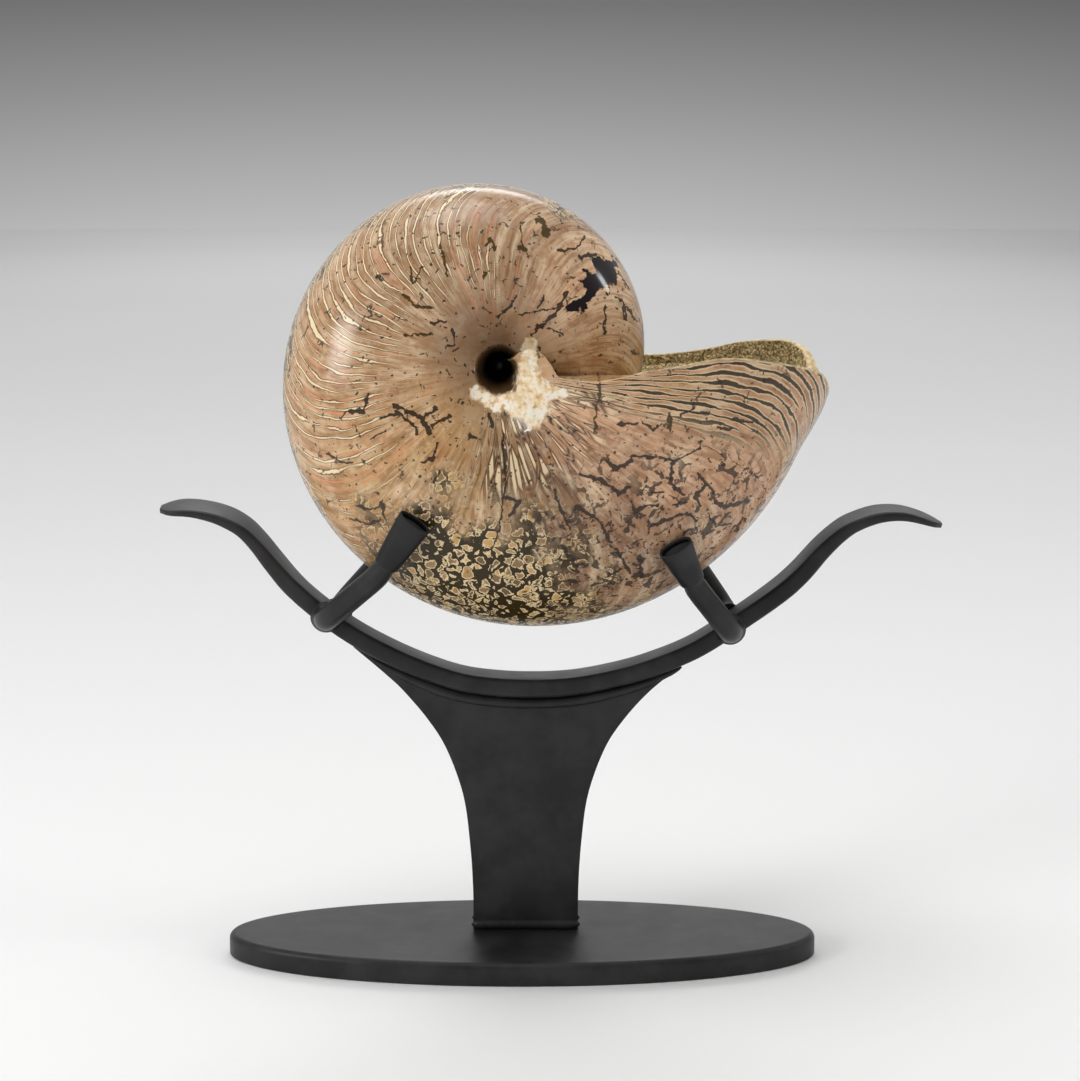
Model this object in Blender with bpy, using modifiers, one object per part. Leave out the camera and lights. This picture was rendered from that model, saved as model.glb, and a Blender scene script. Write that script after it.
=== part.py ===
"""Polished fossil nautilus resting in a forged steel display stand.

Metres, +Z up. X runs along the stand's rail, Y from front to back. The
origin is on the underside of the base, below the middle of the column.
The shell lies in the stand's middle plane, with its coiling axis along Y.
"""
import math

import bmesh
import bpy
from mathutils import Matrix, Vector

COLLECTION_NAME = "fossil_nautilus_on_stand"
MM = 0.001
GAP = 0.3 * MM

# Oval base plate
BASE_HALF_LENGTH = 81.9 * MM
BASE_HALF_DEPTH = 29.1 * MM
BASE_THICKNESS = 6.35 * MM
BASE_CENTRE = (-1.0 * MM, -2.5 * MM)
BASE_TOP_BEVEL = 1.8 * MM
BASE_BOTTOM_BEVEL = 0.6 * MM
BASE_SIDES = 80

# Column: a flared plate, seen from the front
PLATE_HALF_THICKNESS = 3.17 * MM
COLUMN_HALF_WIDTHS = (
    (6.65, 14.6),
    (19.0, 14.7),
    (32.0, 15.5),
    (45.5, 17.3),
    (58.3, 21.7),
    (66.8, 27.0),
    (75.3, 34.6),
    (83.4, 44.6),
)
COLUMN_OUTLINE_STEPS = 3
FOOT_BEAD_RADIUS = 1.4 * MM
RAIL_BEAD_RADIUS = 1.5 * MM
RAIL_BEAD_HALF_LENGTH = 36.0 * MM
BEAD_SINK = 0.2 * MM

# Rail: a bent flat bar, as (x, z, thickness) along its middle line
RAIL_HALF_WIDTH = 6.35 * MM
RAIL_STATIONS = (
    (-99.6, 125.2, 1.3),
    (-93.0, 125.6, 1.9),
    (-87.5, 124.9, 2.4),
    (-82.0, 123.2, 2.9),
    (-77.0, 120.3, 3.2),
    (-73.0, 116.1, 3.6),
    (-69.0, 110.8, 4.2),
    (-64.0, 104.6, 4.7),
    (-58.0, 99.0, 4.8),
    (-50.0, 92.8, 4.9),
    (-41.0, 87.4, 5.0),
    (-30.0, 82.2, 5.0),
    (-18.4, 78.2, 5.0),
    (-8.0, 76.6, 5.1),
    (2.6, 76.2, 5.1),
    (13.0, 76.8, 5.0),
    (23.6, 78.8, 4.8),
    (34.0, 81.7, 4.8),
    (46.5, 86.9, 4.8),
    (58.0, 94.3, 4.9),
    (69.0, 102.2, 4.9),
    (75.2, 107.8, 4.7),
    (81.0, 114.5, 4.2),
    (86.0, 119.2, 3.7),
    (90.0, 121.7, 3.3),
    (96.0, 123.8, 3.0),
    (102.0, 124.2, 2.5),
    (107.5, 123.1, 1.9),
    (113.6, 120.9, 1.3),
)
RAIL_STEPS = 2
RAIL_TIP_LENGTH = 6.0 * MM
RAIL_ROLL_START = 62.0 * MM
RAIL_ROLL_LEFT = math.radians(7.5)
RAIL_ROLL_RIGHT = math.radians(3.0)
RAIL_SECTION_POINTS = 12

# Fossil: a logarithmic spiral whose whorl overlaps all that came before it
COIL_X = -6.83 * MM
COIL_Z = 165.45 * MM
START_RADIUS = 38.7 * MM
GROWTH_PER_RADIAN = 0.1297
HALF_BREADTH_SHARE = 0.52
FLAT_FLANK_SHARE = 0.42
FLANK_POWER = 2.2
UMBILICUS_DISH = 0.18
UMBILICUS_RADIUS = 7.0 * MM
UMBILICUS_FLOOR_RADIUS = 3.2 * MM
UMBILICUS_FLOOR_DEPTH = 8.0 * MM
TURN = 2.0 * math.pi
SHELL_ANGLE_STEPS = 60
RIM_FADE = 1.2
DOME_FADE = 1.5
LIP_FLARE = 2.5 * MM
LIP_FLARE_SPAN = math.radians(13)

# Where the lip runs ahead of or behind the end of the last turn, in degrees,
# as (place across the section, lead). 0 is the floor of the umbilicus, 1 its
# edge, 2 the widest point and 3 the middle of the back.
NEAR_LIP_LEAD = ((0, 48), (1.0, 48), (1.12, 40), (1.3, -2), (1.55, -3), (1.8, -0.5), (2.1, 3.6), (2.22, 4.7),
                 (2.42, 2.6), (2.55, 1.2), (2.7, -0.6), (2.85, -3.8), (3.0, -5.4))
FAR_LIP_LEAD = ((0, 48), (1.0, 48), (1.12, 40), (1.3, -2), (1.75, -3.2), (2.03, -2.4), (2.25, 0.1),
                (2.42, 2.4), (2.58, 2.8), (2.7, 1.6), (2.85, -2.6), (3.0, -5.4))
SECTION_PLACES = (0.3, 0.6, 0.82, 1.0, 1.08, 1.2, 1.45, 1.75, 2.0, 2.14, 2.28, 2.42, 2.55, 2.68, 2.79, 2.9)
APERTURE_ROWS = ((0.035, -0.2), (0.075, -2.6), (0.16, -4.2), (0.5, -5.0))
APERTURE_DROP_START = 5.0 * MM
APERTURE_DROP_SPAN = 15.0 * MM
DOME_LEAD = -9.0

# Arms: round rod butt-welded to the rail, its tip hammered flat on the shell
ROD_RADIUS = 3.175 * MM
NECK_RADIUS = 2.6 * MM
WELD_RADIUS = 4.3 * MM
WELD_LENGTH = 2.2 * MM
ELBOW_OFFSET = 13.5 * MM
ELBOW_RADIUS = 5.6 * MM
TIP_HALF_WIDTH = 3.7 * MM
TIP_HALF_THICKNESS = 1.1 * MM
TIP_SETBACK = 1.2 * MM
ARM_SECTION_POINTS = 12
SLEEVE_WALL = 0.6 * MM
SLEEVE_BELOW_CONTACT = 11.0 * MM
SLEEVE_STATIONS = 5
CONTACT_STANDOFF = 2.55 * MM

# Each arm: side of the rail, foot (x, z) on it, contact (x, z) on the shell,
# cant of the tip about the shell's normal, and length beyond the contact
ARMS = (
    ("front_left", -1, (-54.3, 96.4), (-31.0, 122.5), 8.0, 7.5),
    ("front_right", -1, (55.9, 93.0), (40.0, 118.0), -5.0, 6.0),
    ("rear_left", 1, (-52.5, 95.0), (-30.2, 122.5), -8.0, 7.5),
    ("rear_right", 1, (56.6, 93.4), (41.6, 118.6), 5.0, 6.0),
)


def clear_scene():
    """Remove every object that the file starts with."""
    for item in list(bpy.data.objects):
        bpy.data.objects.remove(item, do_unlink=True)


def make_material(name, colour, roughness, metallic):
    """Return a Principled material of one colour."""
    material = bpy.data.materials.new(name)
    material.use_nodes = True
    shader = material.node_tree.nodes["Principled BSDF"]
    shader.inputs["Base Color"].default_value = (*colour, 1.0)
    shader.inputs["Roughness"].default_value = roughness
    shader.inputs["Metallic"].default_value = metallic
    return material


def smooth_curve(stations, steps):
    """Return points on a Catmull-Rom curve through the stations, ends included."""
    points = [Vector(station) for station in stations]
    first = points[0] * 2 - points[1]
    last = points[-1] * 2 - points[-2]
    padded = [first, *points, last]
    curve = []
    for index in range(1, len(padded) - 2):
        a, b, c, d = padded[index - 1:index + 3]
        for step in range(steps):
            t = step / steps
            curve.append(0.5 * (b * 2 + (c - a) * t + (a * 2 - b * 5 + c * 4 - d) * t * t
                                + (b * 3 - a - c * 3 + d) * t ** 3))
    curve.append(points[-1])
    return curve


def blend_between(stations, place):
    """Return the value at a place, eased between the stations around it."""
    if place <= stations[0][0]:
        return stations[0][1]
    for (low, start), (high, end) in zip(stations, stations[1:]):
        if place <= high:
            share = (place - low) / (high - low)
            return start + (end - start) * share * share * (3 - 2 * share)
    return stations[-1][1]


def add_object(name, mesh, material, collection):
    """Put a mesh in the collection as a named, smooth-shaded object."""
    mesh.materials.clear()
    mesh.materials.append(material)
    mesh.shade_smooth()
    mesh.set_sharp_from_angle(angle=math.radians(35))
    item = bpy.data.objects.new(name, mesh)
    collection.objects.link(item)
    return item


def finish_mesh(builder, name):
    """Weld, turn the faces outwards and return the finished mesh."""
    bmesh.ops.remove_doubles(builder, verts=builder.verts, dist=0.001 * MM)
    bmesh.ops.recalc_face_normals(builder, faces=builder.faces)
    mesh = bpy.data.meshes.new(name)
    builder.to_mesh(mesh)
    builder.free()
    return mesh


def bridge_rings(builder, rings):
    """Join each ring of vertices to the next with four-sided faces."""
    for ring, following in zip(rings, rings[1:]):
        count = len(ring)
        for index in range(count):
            after = (index + 1) % count
            builder.faces.new((ring[index], ring[after], following[after], following[index]))


def solid_loft(name, rings):
    """Return a mesh through closed rings of points, with flat ends."""
    builder = bmesh.new()
    made = [[builder.verts.new(point) for point in ring] for ring in rings]
    bridge_rings(builder, made)
    builder.faces.new(made[0])
    builder.faces.new(made[-1])
    return finish_mesh(builder, name)


def join_solids(target, cutter_meshes, cutters, material):
    """Fuse meshes to a solid with Boolean unions and return the target."""
    for index, mesh in enumerate(cutter_meshes):
        helper = add_object(f"{target.name}_helper_{index}", mesh, material, cutters)
        helper.hide_render = True
        helper.display_type = "WIRE"
        union = target.modifiers.new(f"union_{index}", "BOOLEAN")
        union.operation = "UNION"
        union.solver = "EXACT"
        union.object = helper
    return target


def build_base(collection, paint):
    """Oval plate with a rounded upper edge."""
    bpy.ops.mesh.primitive_cylinder_add(vertices=BASE_SIDES, radius=1.0, depth=BASE_THICKNESS)
    base = bpy.context.object
    mesh = base.data
    shape = Matrix.Diagonal((BASE_HALF_LENGTH, BASE_HALF_DEPTH, 1.0, 1.0))
    place = Matrix.Translation((*BASE_CENTRE, BASE_THICKNESS / 2))
    mesh.transform(place @ shape)
    weights = mesh.attributes.new("bevel_weight_edge", "FLOAT", "EDGE")
    for edge in mesh.edges:
        heights = [mesh.vertices[index].co.z for index in edge.vertices]
        if min(heights) > BASE_THICKNESS / 2:
            weights.data[edge.index].value = 1.0
        elif max(heights) < BASE_THICKNESS / 2:
            weights.data[edge.index].value = BASE_BOTTOM_BEVEL / BASE_TOP_BEVEL
    bevel = base.modifiers.new("rounded_edges", "BEVEL")
    bevel.limit_method = "WEIGHT"
    bevel.width = BASE_TOP_BEVEL
    bevel.segments = 2
    for owner in list(base.users_collection):
        owner.objects.unlink(base)
    collection.objects.link(base)
    base.name = "base"
    mesh.materials.append(paint)
    mesh.shade_smooth()
    mesh.set_sharp_from_angle(angle=math.radians(35))
    return base


def rail_curve():
    """Return the rail's middle line as (x, z, thickness), in metres."""
    return [point * MM for point in smooth_curve(RAIL_STATIONS, RAIL_STEPS)]


def rail_height(x):
    """Return the height of the rail's middle line and its slope at x."""
    curve = rail_curve()
    for before, after in zip(curve, curve[1:]):
        if before.x <= x <= after.x:
            slope = (after.y - before.y) / (after.x - before.x)
            return before.y + slope * (x - before.x), slope
    raise ValueError("x is off the rail")


def rail_section(half_width, half_thickness):
    """Return a rounded bar's section as (across, up) points."""
    points = []
    for index in range(RAIL_SECTION_POINTS):
        angle = TURN * (index + 0.5) / RAIL_SECTION_POINTS
        c, s = math.cos(angle), math.sin(angle)
        across = half_width * math.copysign(abs(c) ** 0.42, c)
        up = half_thickness * math.copysign(abs(s) ** 0.5, s)
        points.append((across, up))
    return points


def build_rail(collection, paint):
    """Flat bar bent to a cradle, with thin upturned ends."""
    curve = rail_curve()
    reach = [abs(point.x) for point in curve]
    rings = []
    for index, point in enumerate(curve):
        before = curve[max(index - 1, 0)]
        after = curve[min(index + 1, len(curve) - 1)]
        along = Vector((after.x - before.x, 0, after.y - before.y)).normalized()
        upright = Vector((-along.z, 0, along.x))
        tip = min((point.x - curve[0].x), (curve[-1].x - point.x))
        rounding = math.sqrt(max(0.12, 1 - (1 - min(tip / RAIL_TIP_LENGTH, 1)) ** 2))
        full_roll = RAIL_ROLL_LEFT if point.x < 0 else RAIL_ROLL_RIGHT
        full_reach = reach[0] if point.x < 0 else reach[-1]
        share = max(0.0, (abs(point.x) - RAIL_ROLL_START) / (full_reach - RAIL_ROLL_START))
        roll = full_roll * min(1.0, 2 * share)
        wide = Vector((0, math.cos(roll), 0)) + upright * math.sin(roll)
        thick = upright * math.cos(roll) - Vector((0, math.sin(roll), 0))
        centre = Vector((point.x, 0, point.y))
        rings.append([centre + wide * across + thick * up
                      for across, up in rail_section(RAIL_HALF_WIDTH * rounding, point.z / 2)])
    return add_object("rail", solid_loft("rail", rings), paint, collection)


def rail_underside(x):
    """Return the height of the rail's lower face at x."""
    height, slope = rail_height(x)
    thickness = min(rail_curve(), key=lambda point: abs(point.x - x)).z
    return height - thickness / 2 * math.hypot(1, slope)


def outline_mesh(points, half_thickness, name):
    """Return an upright plate whose front outline is a filled flat curve."""
    curve = bpy.data.curves.new(name, "CURVE")
    curve.dimensions = "2D"
    curve.fill_mode = "BOTH"
    curve.extrude = half_thickness
    spline = curve.splines.new("POLY")
    spline.points.add(len(points) - 1)
    for target, (x, z) in zip(spline.points, points):
        target.co = (x, z, 0, 1)
    spline.use_cyclic_u = True
    holder = bpy.data.objects.new(name, curve)
    bpy.context.scene.collection.objects.link(holder)
    bpy.context.view_layer.update()
    evaluated = holder.evaluated_get(bpy.context.evaluated_depsgraph_get())
    mesh = bpy.data.meshes.new_from_object(evaluated)
    bpy.data.objects.remove(holder, do_unlink=True)
    mesh.transform(Matrix.Rotation(math.radians(90), 4, "X"))
    builder = bmesh.new()
    builder.from_mesh(mesh)
    bpy.data.meshes.remove(mesh)
    return finish_mesh(builder, name)


def tube_mesh(points, radius, name):
    """Return a round bar with filled ends along a path of points."""
    curve = bpy.data.curves.new(name, "CURVE")
    curve.dimensions = "3D"
    curve.bevel_depth = radius
    curve.bevel_resolution = 2
    curve.use_fill_caps = True
    spline = curve.splines.new("POLY")
    spline.points.add(len(points) - 1)
    for target, point in zip(spline.points, points):
        target.co = (*point, 1)
    holder = bpy.data.objects.new(name, curve)
    bpy.context.scene.collection.objects.link(holder)
    bpy.context.view_layer.update()
    evaluated = holder.evaluated_get(bpy.context.evaluated_depsgraph_get())
    mesh = bpy.data.meshes.new_from_object(evaluated)
    bpy.data.objects.remove(holder, do_unlink=True)
    builder = bmesh.new()
    builder.from_mesh(mesh)
    bpy.data.meshes.remove(mesh)
    return finish_mesh(builder, name)


def build_column(collection, cutters, paint):
    """Flared plate between base and rail, with its weld beads."""
    sides = [point * MM for point in smooth_curve([(z, half, 0) for z, half in COLUMN_HALF_WIDTHS],
                                                  COLUMN_OUTLINE_STEPS)]
    right = [(point.y, point.x) for point in sides]
    top_half = right[-1][0]
    top_count = 14
    top = []
    for index in range(top_count + 1):
        x = top_half - 2 * top_half * index / top_count
        top.append((x, rail_underside(x) - GAP))
    right[-1] = top[0]
    left = [(-x, z) for x, z in reversed(right)]
    left[0] = top[-1]
    outline = right[:-1] + top + left[1:]
    column = add_object("column", outline_mesh(outline, PLATE_HALF_THICKNESS, "column"), paint, collection)

    beads = []
    foot = right[0]
    foot_height = foot[1] + FOOT_BEAD_RADIUS + BEAD_SINK
    for side in (-1, 1):
        y = side * (PLATE_HALF_THICKNESS - BEAD_SINK)
        path = [(x, y, foot_height) for x in (-foot[0] - 0.6 * MM, foot[0] + 0.6 * MM)]
        beads.append(tube_mesh(path, FOOT_BEAD_RADIUS, "foot_bead"))
        path = []
        for index in range(13):
            x = RAIL_BEAD_HALF_LENGTH * (index / 6 - 1)
            slope = rail_height(x)[1]
            drop = (RAIL_BEAD_RADIUS + 2 * GAP) * math.hypot(1, slope)
            path.append((x, y, rail_underside(x) - drop))
        beads.append(tube_mesh(path, RAIL_BEAD_RADIUS, "rail_bead"))
    return join_solids(column, beads, cutters, paint)


def whorl_radius(angle):
    """Return the distance of the shell's back from the coiling axis."""
    return START_RADIUS * math.exp(GROWTH_PER_RADIAN * angle)


def section_point(radius, place):
    """Return (distance from the axis, half breadth) at a place on a section."""
    breadth = HALF_BREADTH_SHARE * radius
    flat = FLAT_FLANK_SHARE * radius
    if place >= 2:
        turn = (place - 2) * math.pi / 2
        power = 2 / FLANK_POWER
        return flat + (radius - flat) * math.sin(turn) ** power, breadth * math.cos(turn) ** power
    if place >= 1:
        share = 2 - place
        return flat + (UMBILICUS_RADIUS - flat) * share, breadth * (1 - UMBILICUS_DISH * share ** 2)
    edge = breadth * (1 - UMBILICUS_DISH)
    turn = place * math.pi / 2
    return (UMBILICUS_FLOOR_RADIUS + (UMBILICUS_RADIUS - UMBILICUS_FLOOR_RADIUS) * (1 - math.cos(turn)),
            UMBILICUS_FLOOR_DEPTH + (edge - UMBILICUS_FLOOR_DEPTH) * math.sin(turn))


def shell_point(angle, place, side, flare):
    """Return the world point of the shell's skin at a coil angle and place."""
    radius = whorl_radius(angle) + flare
    if place >= 3:
        distance, breadth = radius, 0.0
    else:
        distance, breadth = section_point(radius, place)
    return Vector((COIL_X + distance * math.cos(angle), side * breadth, COIL_Z + distance * math.sin(angle)))


def flank_breadth(x, z):
    """Return how far the last turn's flank stands from the middle plane."""
    dx, dz = x - COIL_X, z - COIL_Z
    angle = math.atan2(dz, dx) % TURN
    radius = whorl_radius(angle)
    flat = FLAT_FLANK_SHARE * radius
    share = min(1.0, max(0.0, (math.hypot(dx, dz) - flat) / (radius - flat)))
    return HALF_BREADTH_SHARE * radius * (1 - share ** FLANK_POWER) ** (1 / FLANK_POWER)


def lip_lead(place, side):
    """Return the angle by which the lip leads the end of the last turn."""
    return math.radians(blend_between(NEAR_LIP_LEAD if side < 0 else FAR_LIP_LEAD, place))


def ease(value):
    """Return a smooth step from 0 to 1."""
    value = min(1.0, max(0.0, value))
    return value * value * (3 - 2 * value)


def warped_angle(angle, place, side):
    """Return the coil angle, bent to follow the lip near both ends of the turn."""
    lead = lip_lead(place, side)
    at_lip = ease((angle - (TURN - RIM_FADE)) / RIM_FADE)
    at_dome = ease((DOME_FADE - angle) / DOME_FADE)
    return angle + lead * at_lip + (lead + math.radians(DOME_LEAD)) * at_dome


def lip_flare(angle, place):
    """Return how far the skin stands outside the spiral where the lip turns outwards."""
    at_lip = ease((angle - (TURN - LIP_FLARE_SPAN)) / LIP_FLARE_SPAN)
    return LIP_FLARE * at_lip * ease((place - 2.3) / 0.5)


def shell_row(angle, stations):
    """Return the points of one section, from near floor over the back to far floor."""
    return [shell_point(warped_angle(angle, place, side), place, side, lip_flare(angle, place))
            for place, side in stations]


def aperture_rows(lip, dome):
    """Return the rows of stone between the lip and the dome of the turn before."""
    rows = []
    for share, drop in APERTURE_ROWS:
        row = []
        for outer, inner in zip(lip, dome):
            point = outer.lerp(inner, share)
            from_axis = math.hypot(point.x - COIL_X, point.y)
            point.z += drop * MM * ease((from_axis - APERTURE_DROP_START) / APERTURE_DROP_SPAN) * (1 - share)
            row.append(point)
        rows.append(row)
    return rows


def build_fossil(collection, stone):
    """Closed spiral shell with stone in its mouth and a blind navel on each side."""
    near = [(place, -1) for place in SECTION_PLACES]
    far = [(place, 1) for place in reversed(SECTION_PLACES)]
    stations = near + [(3.0, -1)] + far
    rows = [shell_row(TURN * index / SHELL_ANGLE_STEPS, stations) for index in range(SHELL_ANGLE_STEPS + 1)]
    rows += aperture_rows(rows[-1], rows[0])

    builder = bmesh.new()
    made = [[builder.verts.new(point) for point in row] for row in rows]
    for index, row in enumerate(made):
        following = made[(index + 1) % len(made)]
        for a, b, c, d in zip(row, row[1:], following[1:], following):
            builder.faces.new((a, b, c, d))
    for column in (0, -1):
        side = -1 if column == 0 else 1
        floor = Vector((COIL_X, side * UMBILICUS_FLOOR_DEPTH, COIL_Z))
        centre = builder.verts.new(floor)
        for index, row in enumerate(made):
            builder.faces.new((row[column], made[(index + 1) % len(made)][column], centre))
    return add_object("nautilus_fossil", finish_mesh(builder, "nautilus_fossil"), stone, collection)


def shell_normal(x, z, side):
    """Return the outward direction of the flank at (x, z)."""
    step = 0.05 * MM
    slope_x = (flank_breadth(x + step, z) - flank_breadth(x - step, z)) / (2 * step)
    slope_z = (flank_breadth(x, z + step) - flank_breadth(x, z - step)) / (2 * step)
    return Vector((-slope_x, side, -slope_z)).normalized()


def arm_path(side, foot, contact, cant, reach):
    """Return an arm's corner points and the shell's normal where its tip rests.

    The corners are the foot on the rail, the elbow, the lower end of the
    sleeve and the tip.
    """
    x, z = contact[0] * MM, contact[1] * MM
    normal = shell_normal(x, z, side)
    touch = Vector((x, side * flank_breadth(x, z), z)) + normal * CONTACT_STANDOFF
    foot_x, foot_z = foot[0] * MM, foot[1] * MM
    root = Vector((foot_x, side * (RAIL_HALF_WIDTH + GAP), foot_z))
    elbow = Vector((foot_x, side * ELBOW_OFFSET, foot_z))
    along = touch - elbow
    along -= normal * along.dot(normal)
    along = Matrix.Rotation(math.radians(cant), 3, normal) @ along.normalized()
    low = touch - along * SLEEVE_BELOW_CONTACT
    tip = touch + along * reach * MM
    return root, elbow, low, tip, normal


def rounded_corner(before, corner, after, radius, steps):
    """Return points that round a corner of a path."""
    start = corner + (before - corner).normalized() * radius
    end = corner + (after - corner).normalized() * radius
    points = []
    for index in range(steps + 1):
        t = index / steps
        points.append(start * (1 - t) ** 2 + corner * 2 * t * (1 - t) + end * t * t)
    return points


def oval_ring(centre, along, normal, half_width, half_thickness):
    """Return an oval ring of points square to a path, flat towards the shell."""
    thick = (normal - along * normal.dot(along)).normalized()
    wide = along.cross(thick)
    ring = []
    for index in range(ARM_SECTION_POINTS):
        angle = TURN * (index + 0.5) / ARM_SECTION_POINTS
        c, s = math.cos(angle), math.sin(angle)
        ring.append(centre + wide * half_width * c + thick * half_thickness * s)
    return ring


def path_rings(points, sizes, normal):
    """Return oval rings along a path with (half width, half thickness) sizes."""
    rings = []
    for index, (point, size) in enumerate(zip(points, sizes)):
        before = points[max(index - 1, 0)]
        after = points[min(index + 1, len(points) - 1)]
        rings.append(oval_ring(point, (after - before).normalized(), normal, *size))
    return rings


def flattened_size(share):
    """Return the arm's half width and half thickness along its flattened end."""
    share = min(1.0, max(0.0, share))
    return (NECK_RADIUS + (TIP_HALF_WIDTH - NECK_RADIUS) * share,
            NECK_RADIUS + (TIP_HALF_THICKNESS - NECK_RADIUS) * ease(1.6 * share))


def build_arm(name, side, foot, contact, cant, reach, collection, paint):
    """Round rod from the rail's face, bent up, with a flat tip on the shell."""
    root, elbow, low, tip, normal = arm_path(side, foot, contact, cant, reach)
    outward = (elbow - root).normalized()
    along = (tip - low).normalized()
    points = [root, root + outward * WELD_LENGTH / 2, root + outward * WELD_LENGTH]
    sizes = [(WELD_RADIUS, WELD_RADIUS), (0.88 * WELD_RADIUS, 0.88 * WELD_RADIUS), (ROD_RADIUS, ROD_RADIUS)]
    bend = rounded_corner(root, elbow, low, ELBOW_RADIUS, 4)
    sweep_start = elbow.lerp(low, 0.45)
    sweep = rounded_corner(sweep_start, low - along * 3 * MM, tip, 5 * MM, 2)
    points += bend + sweep
    sizes += [(ROD_RADIUS, ROD_RADIUS)] * (len(bend) + 2) + [(NECK_RADIUS, NECK_RADIUS)]
    end = tip - along * TIP_SETBACK
    start = points[-1]
    for share in (0.25, 0.5, 1.0):
        points.append(start.lerp(end, share))
        sizes.append(flattened_size(share))
    mesh = solid_loft(f"arm_{name}", path_rings(points, sizes, normal))
    return add_object(f"arm_{name}", mesh, paint, collection)


def build_sleeve(name, side, foot, contact, cant, reach, collection, rubber):
    """Soft tube over the arm's flat tip, open at its upper end."""
    low, tip, normal = arm_path(side, foot, contact, cant, reach)[2:]
    along = (tip - low).normalized()
    rod_end = low - along * 3 * MM + along * 5 * MM
    end = tip - along * TIP_SETBACK
    points = []
    bores = []
    for index in range(SLEEVE_STATIONS + 1):
        point = rod_end.lerp(tip, (index + 0.15) / (SLEEVE_STATIONS + 0.15))
        share = (point - rod_end).dot(along) / (end - rod_end).length
        wide, thick = flattened_size(share)
        points.append(point)
        bores.append((wide + GAP, thick + GAP))
    skins = [(wide + SLEEVE_WALL, thick + SLEEVE_WALL) for wide, thick in bores]
    outer = path_rings(points, skins, normal)
    inner = path_rings(points, bores, normal)
    builder = bmesh.new()
    rings = [[builder.verts.new(point) for point in ring] for ring in outer + inner[::-1]]
    bridge_rings(builder, rings + rings[:1])
    mesh = finish_mesh(builder, f"sleeve_{name}")
    return add_object(f"sleeve_{name}", mesh, rubber, collection)


def main():
    """Build the stand and the fossil in it."""
    clear_scene()
    collection = bpy.data.collections.new(COLLECTION_NAME)
    cutters = bpy.data.collections.new("joining_helpers")
    bpy.context.scene.collection.children.link(collection)
    bpy.context.scene.collection.children.link(cutters)
    paint = make_material("black_powder_coat", (0.03, 0.03, 0.032), 0.5, 0.3)
    rubber = make_material("black_sleeve", (0.02, 0.02, 0.022), 0.6, 0.0)
    stone = make_material("polished_fossil", (0.42, 0.29, 0.19), 0.15, 0.0)
    build_base(collection, paint)
    build_column(collection, cutters, paint)
    build_rail(collection, paint)
    for arm in ARMS:
        build_arm(*arm, collection, paint)
        build_sleeve(*arm, collection, rubber)
    build_fossil(collection, stone)


main()
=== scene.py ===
"""Looks for the polished nautilus fossil and its forged steel stand.

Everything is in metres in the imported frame: +Z up, X along the rail and Y
away from the viewer. Each sub-assembly is a class that holds its own sizes.
"""
import logging
import math
from dataclasses import dataclass
from enum import Enum
from typing import Optional, Sequence, Union

import bmesh
import bpy
import numpy as np
from mathutils import Matrix, Vector


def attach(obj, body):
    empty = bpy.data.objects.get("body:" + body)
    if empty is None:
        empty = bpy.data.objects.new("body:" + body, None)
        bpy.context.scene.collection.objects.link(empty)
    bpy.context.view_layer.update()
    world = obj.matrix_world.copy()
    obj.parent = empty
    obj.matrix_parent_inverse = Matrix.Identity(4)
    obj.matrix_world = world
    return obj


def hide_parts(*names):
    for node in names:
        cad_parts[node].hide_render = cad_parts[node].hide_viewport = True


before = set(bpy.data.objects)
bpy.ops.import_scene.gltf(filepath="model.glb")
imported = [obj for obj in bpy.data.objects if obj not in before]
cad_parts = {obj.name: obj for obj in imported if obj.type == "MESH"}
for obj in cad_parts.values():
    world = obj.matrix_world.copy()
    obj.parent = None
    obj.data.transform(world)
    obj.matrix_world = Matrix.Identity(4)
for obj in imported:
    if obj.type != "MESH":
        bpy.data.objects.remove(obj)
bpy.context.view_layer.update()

LOG = logging.getLogger("fossil_stand")
MM = 0.001
GAP = 0.3 * MM
TURN = 2.0 * math.pi
ROOT_BODY = "root"

Colour = tuple[float, float, float]
Item = bpy.types.Object
Material = bpy.types.Material
Outputs = bpy.types.NodeOutputs
Socket = bpy.types.NodeSocket
Tree = bpy.types.NodeTree
Input = Union[Socket, float, tuple, None]
FLOAT = "NodeSocketFloat"
VECTOR = "NodeSocketVector"
GEOMETRY = "NodeSocketGeometry"
FINISH = "NodeSocketMaterial"


def srgb(red: int, green: int, blue: int) -> Colour:
    """Turn 8-bit display values into linear colour.

    Args:
        red: red from 0 to 255.
        green: green from 0 to 255.
        blue: blue from 0 to 255.

    Returns:
        The colour as three numbers from 0 to 1.
    """
    values = []
    for channel in (red, green, blue):
        share = channel / 255
        values.append(share / 12.92 if share <= 0.04045 else ((share + 0.055) / 1.055) ** 2.4)
    return tuple(values)


def ease(value: np.ndarray) -> np.ndarray:
    """Smooth step from 0 to 1 on plain numbers or arrays."""
    value = np.clip(value, 0.0, 1.0)
    return value * value * (3 - 2 * value)


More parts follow.
